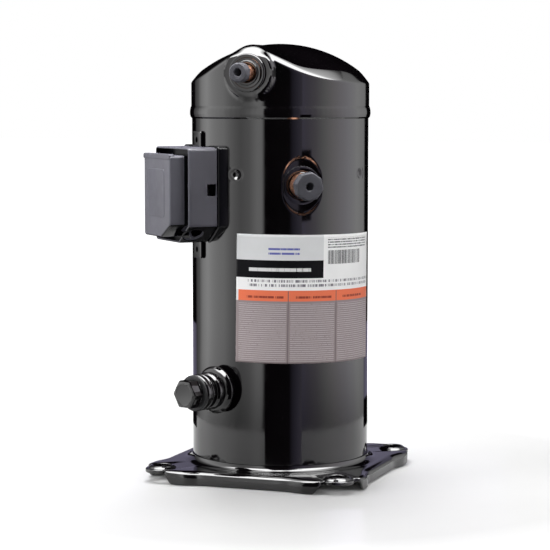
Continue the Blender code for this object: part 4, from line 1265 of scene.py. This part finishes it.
def dark_cards():
    """Cards that put the dark stripes into the paint: in front, behind, and beside the suction fitting."""
    card = glow("dark_card", CARD_SHADES, [(0.0, 1.0), (1.0, 1.0)])
    low, high = -0.056, 0.08
    rows = []
    for z in (0.0, 0.5):
        rows.append([(from_view(0, 0.2, z) + across_view() * s, (s - low) / (high - low), z / 0.5)
                     for s in (low, 0.0, high)])
    sheet_of_light("front_card", rows, card)

    rows = []
    for z, shade in ((0.0, 0.0), (0.035, 0.0), (0.0351, 0.78), (0.125, 0.78), (0.1251, 0.0), (1.2, 0.0)):
        rows.append([(from_view(a, 0.34, z), shade, 0.0) for a in range(129, 232, 3)])
    sheet_of_light("rear_card", rows, card)

    rows = []
    for z in (0.262, 0.338):
        rows.append([(from_view(0, 0.198, z) + across_view() * s, shade, 0.0)
                     for s, shade in ((0.078, 0.0), (0.1, 0.0), (0.128, 1.0))])
    sheet_of_light("recess_card", rows, card)


def floor():
    """Pale floor that turns to plain white away from the object."""
    look = Look("pale_floor", roughness=0.3, Specular_IOR_Level=0.2)
    look.set(Base_Color=look.ramp(look.noise(6, detail=3), [(0.3, 0.63), (0.7, 0.65)]))
    place = look.split(look.place)
    squares = [look.math("POWER", place[axis], 2.0) for axis in ("X", "Y")]
    reach = look.math("SQRT", look.math("ADD", *squares))
    look.set(Emission_Color=(1, 1, 1), Emission_Strength=look.ranged(reach, 0.35, 0.9, 0.0, 1.0))
    bm = bmesh.new()
    bmesh.ops.create_grid(bm, x_segments=8, y_segments=8, size=14)
    mesh = bpy.data.meshes.new("floor")
    bm.to_mesh(mesh)
    bm.free()
    mesh.materials.append(look.material)
    obj = added("floor", mesh)
    obj.location.z = -0.0006
    obj.visible_diffuse = False


def area(name, size, power, place, aim):
    data = bpy.data.lights.new(name, "AREA")
    data.shape = "RECTANGLE"
    data.size, data.size_y = size
    data.energy = power
    obj = added(name, data)
    obj.location = place
    obj.rotation_euler = (aim - place).to_track_quat("-Z", "Y").to_euler()
    obj.visible_camera = False
    obj.visible_glossy = False


def world():
    """A white room for what is matt and for the view behind the object, and a dark one for reflections."""
    made = bpy.data.worlds.new("studio")
    bpy.context.scene.world = made
    graph = Graph(made)
    rays = graph.node("ShaderNodeLightPath").outputs
    way = graph.node("ShaderNodeTexCoord").outputs["Generated"]
    sky = graph.ranged(graph.split(way)["Z"], -0.1, 0.1, 0.02, SKY)
    seen = graph.math("MAXIMUM", rays["Is Camera Ray"], sky)
    strength = graph.math("SUBTRACT", seen, rays["Is Glossy Ray"])
    strength.node.use_clamp = True
    background = graph.nodes["Background"]
    graph.feed(background.inputs["Strength"], strength)
    graph.feed(background.inputs["Color"], (1, 1, 1))


def studio():
    camera()
    floor()
    world()
    soft_wall()
    overhead_box()
    dark_cards()
    for name, (size, power, angle, away, height, aim) in AREAS.items():
        area(name, size, power, from_view(angle, away, height), Vector((0, 0, aim)))
    bpy.context.scene.view_settings.view_transform = "Standard"


# ---------------- the object


shell()
seam()
cap()
tube_fitting("discharge", DISCHARGE, "discharge_cap", PAD_W, 19.5, 8.3, 10, 12, welded_on=True)
tube_fitting("suction", SUCTION, "suction_cap", OVAL_W + 0.2, 19.5, 12.5, 14.6, 8, welded_on=False)
oil_fitting()
box_cover()
box_base()
brackets()
base()
bottom_dish()
label()
dress_kept_nodes()
studio()
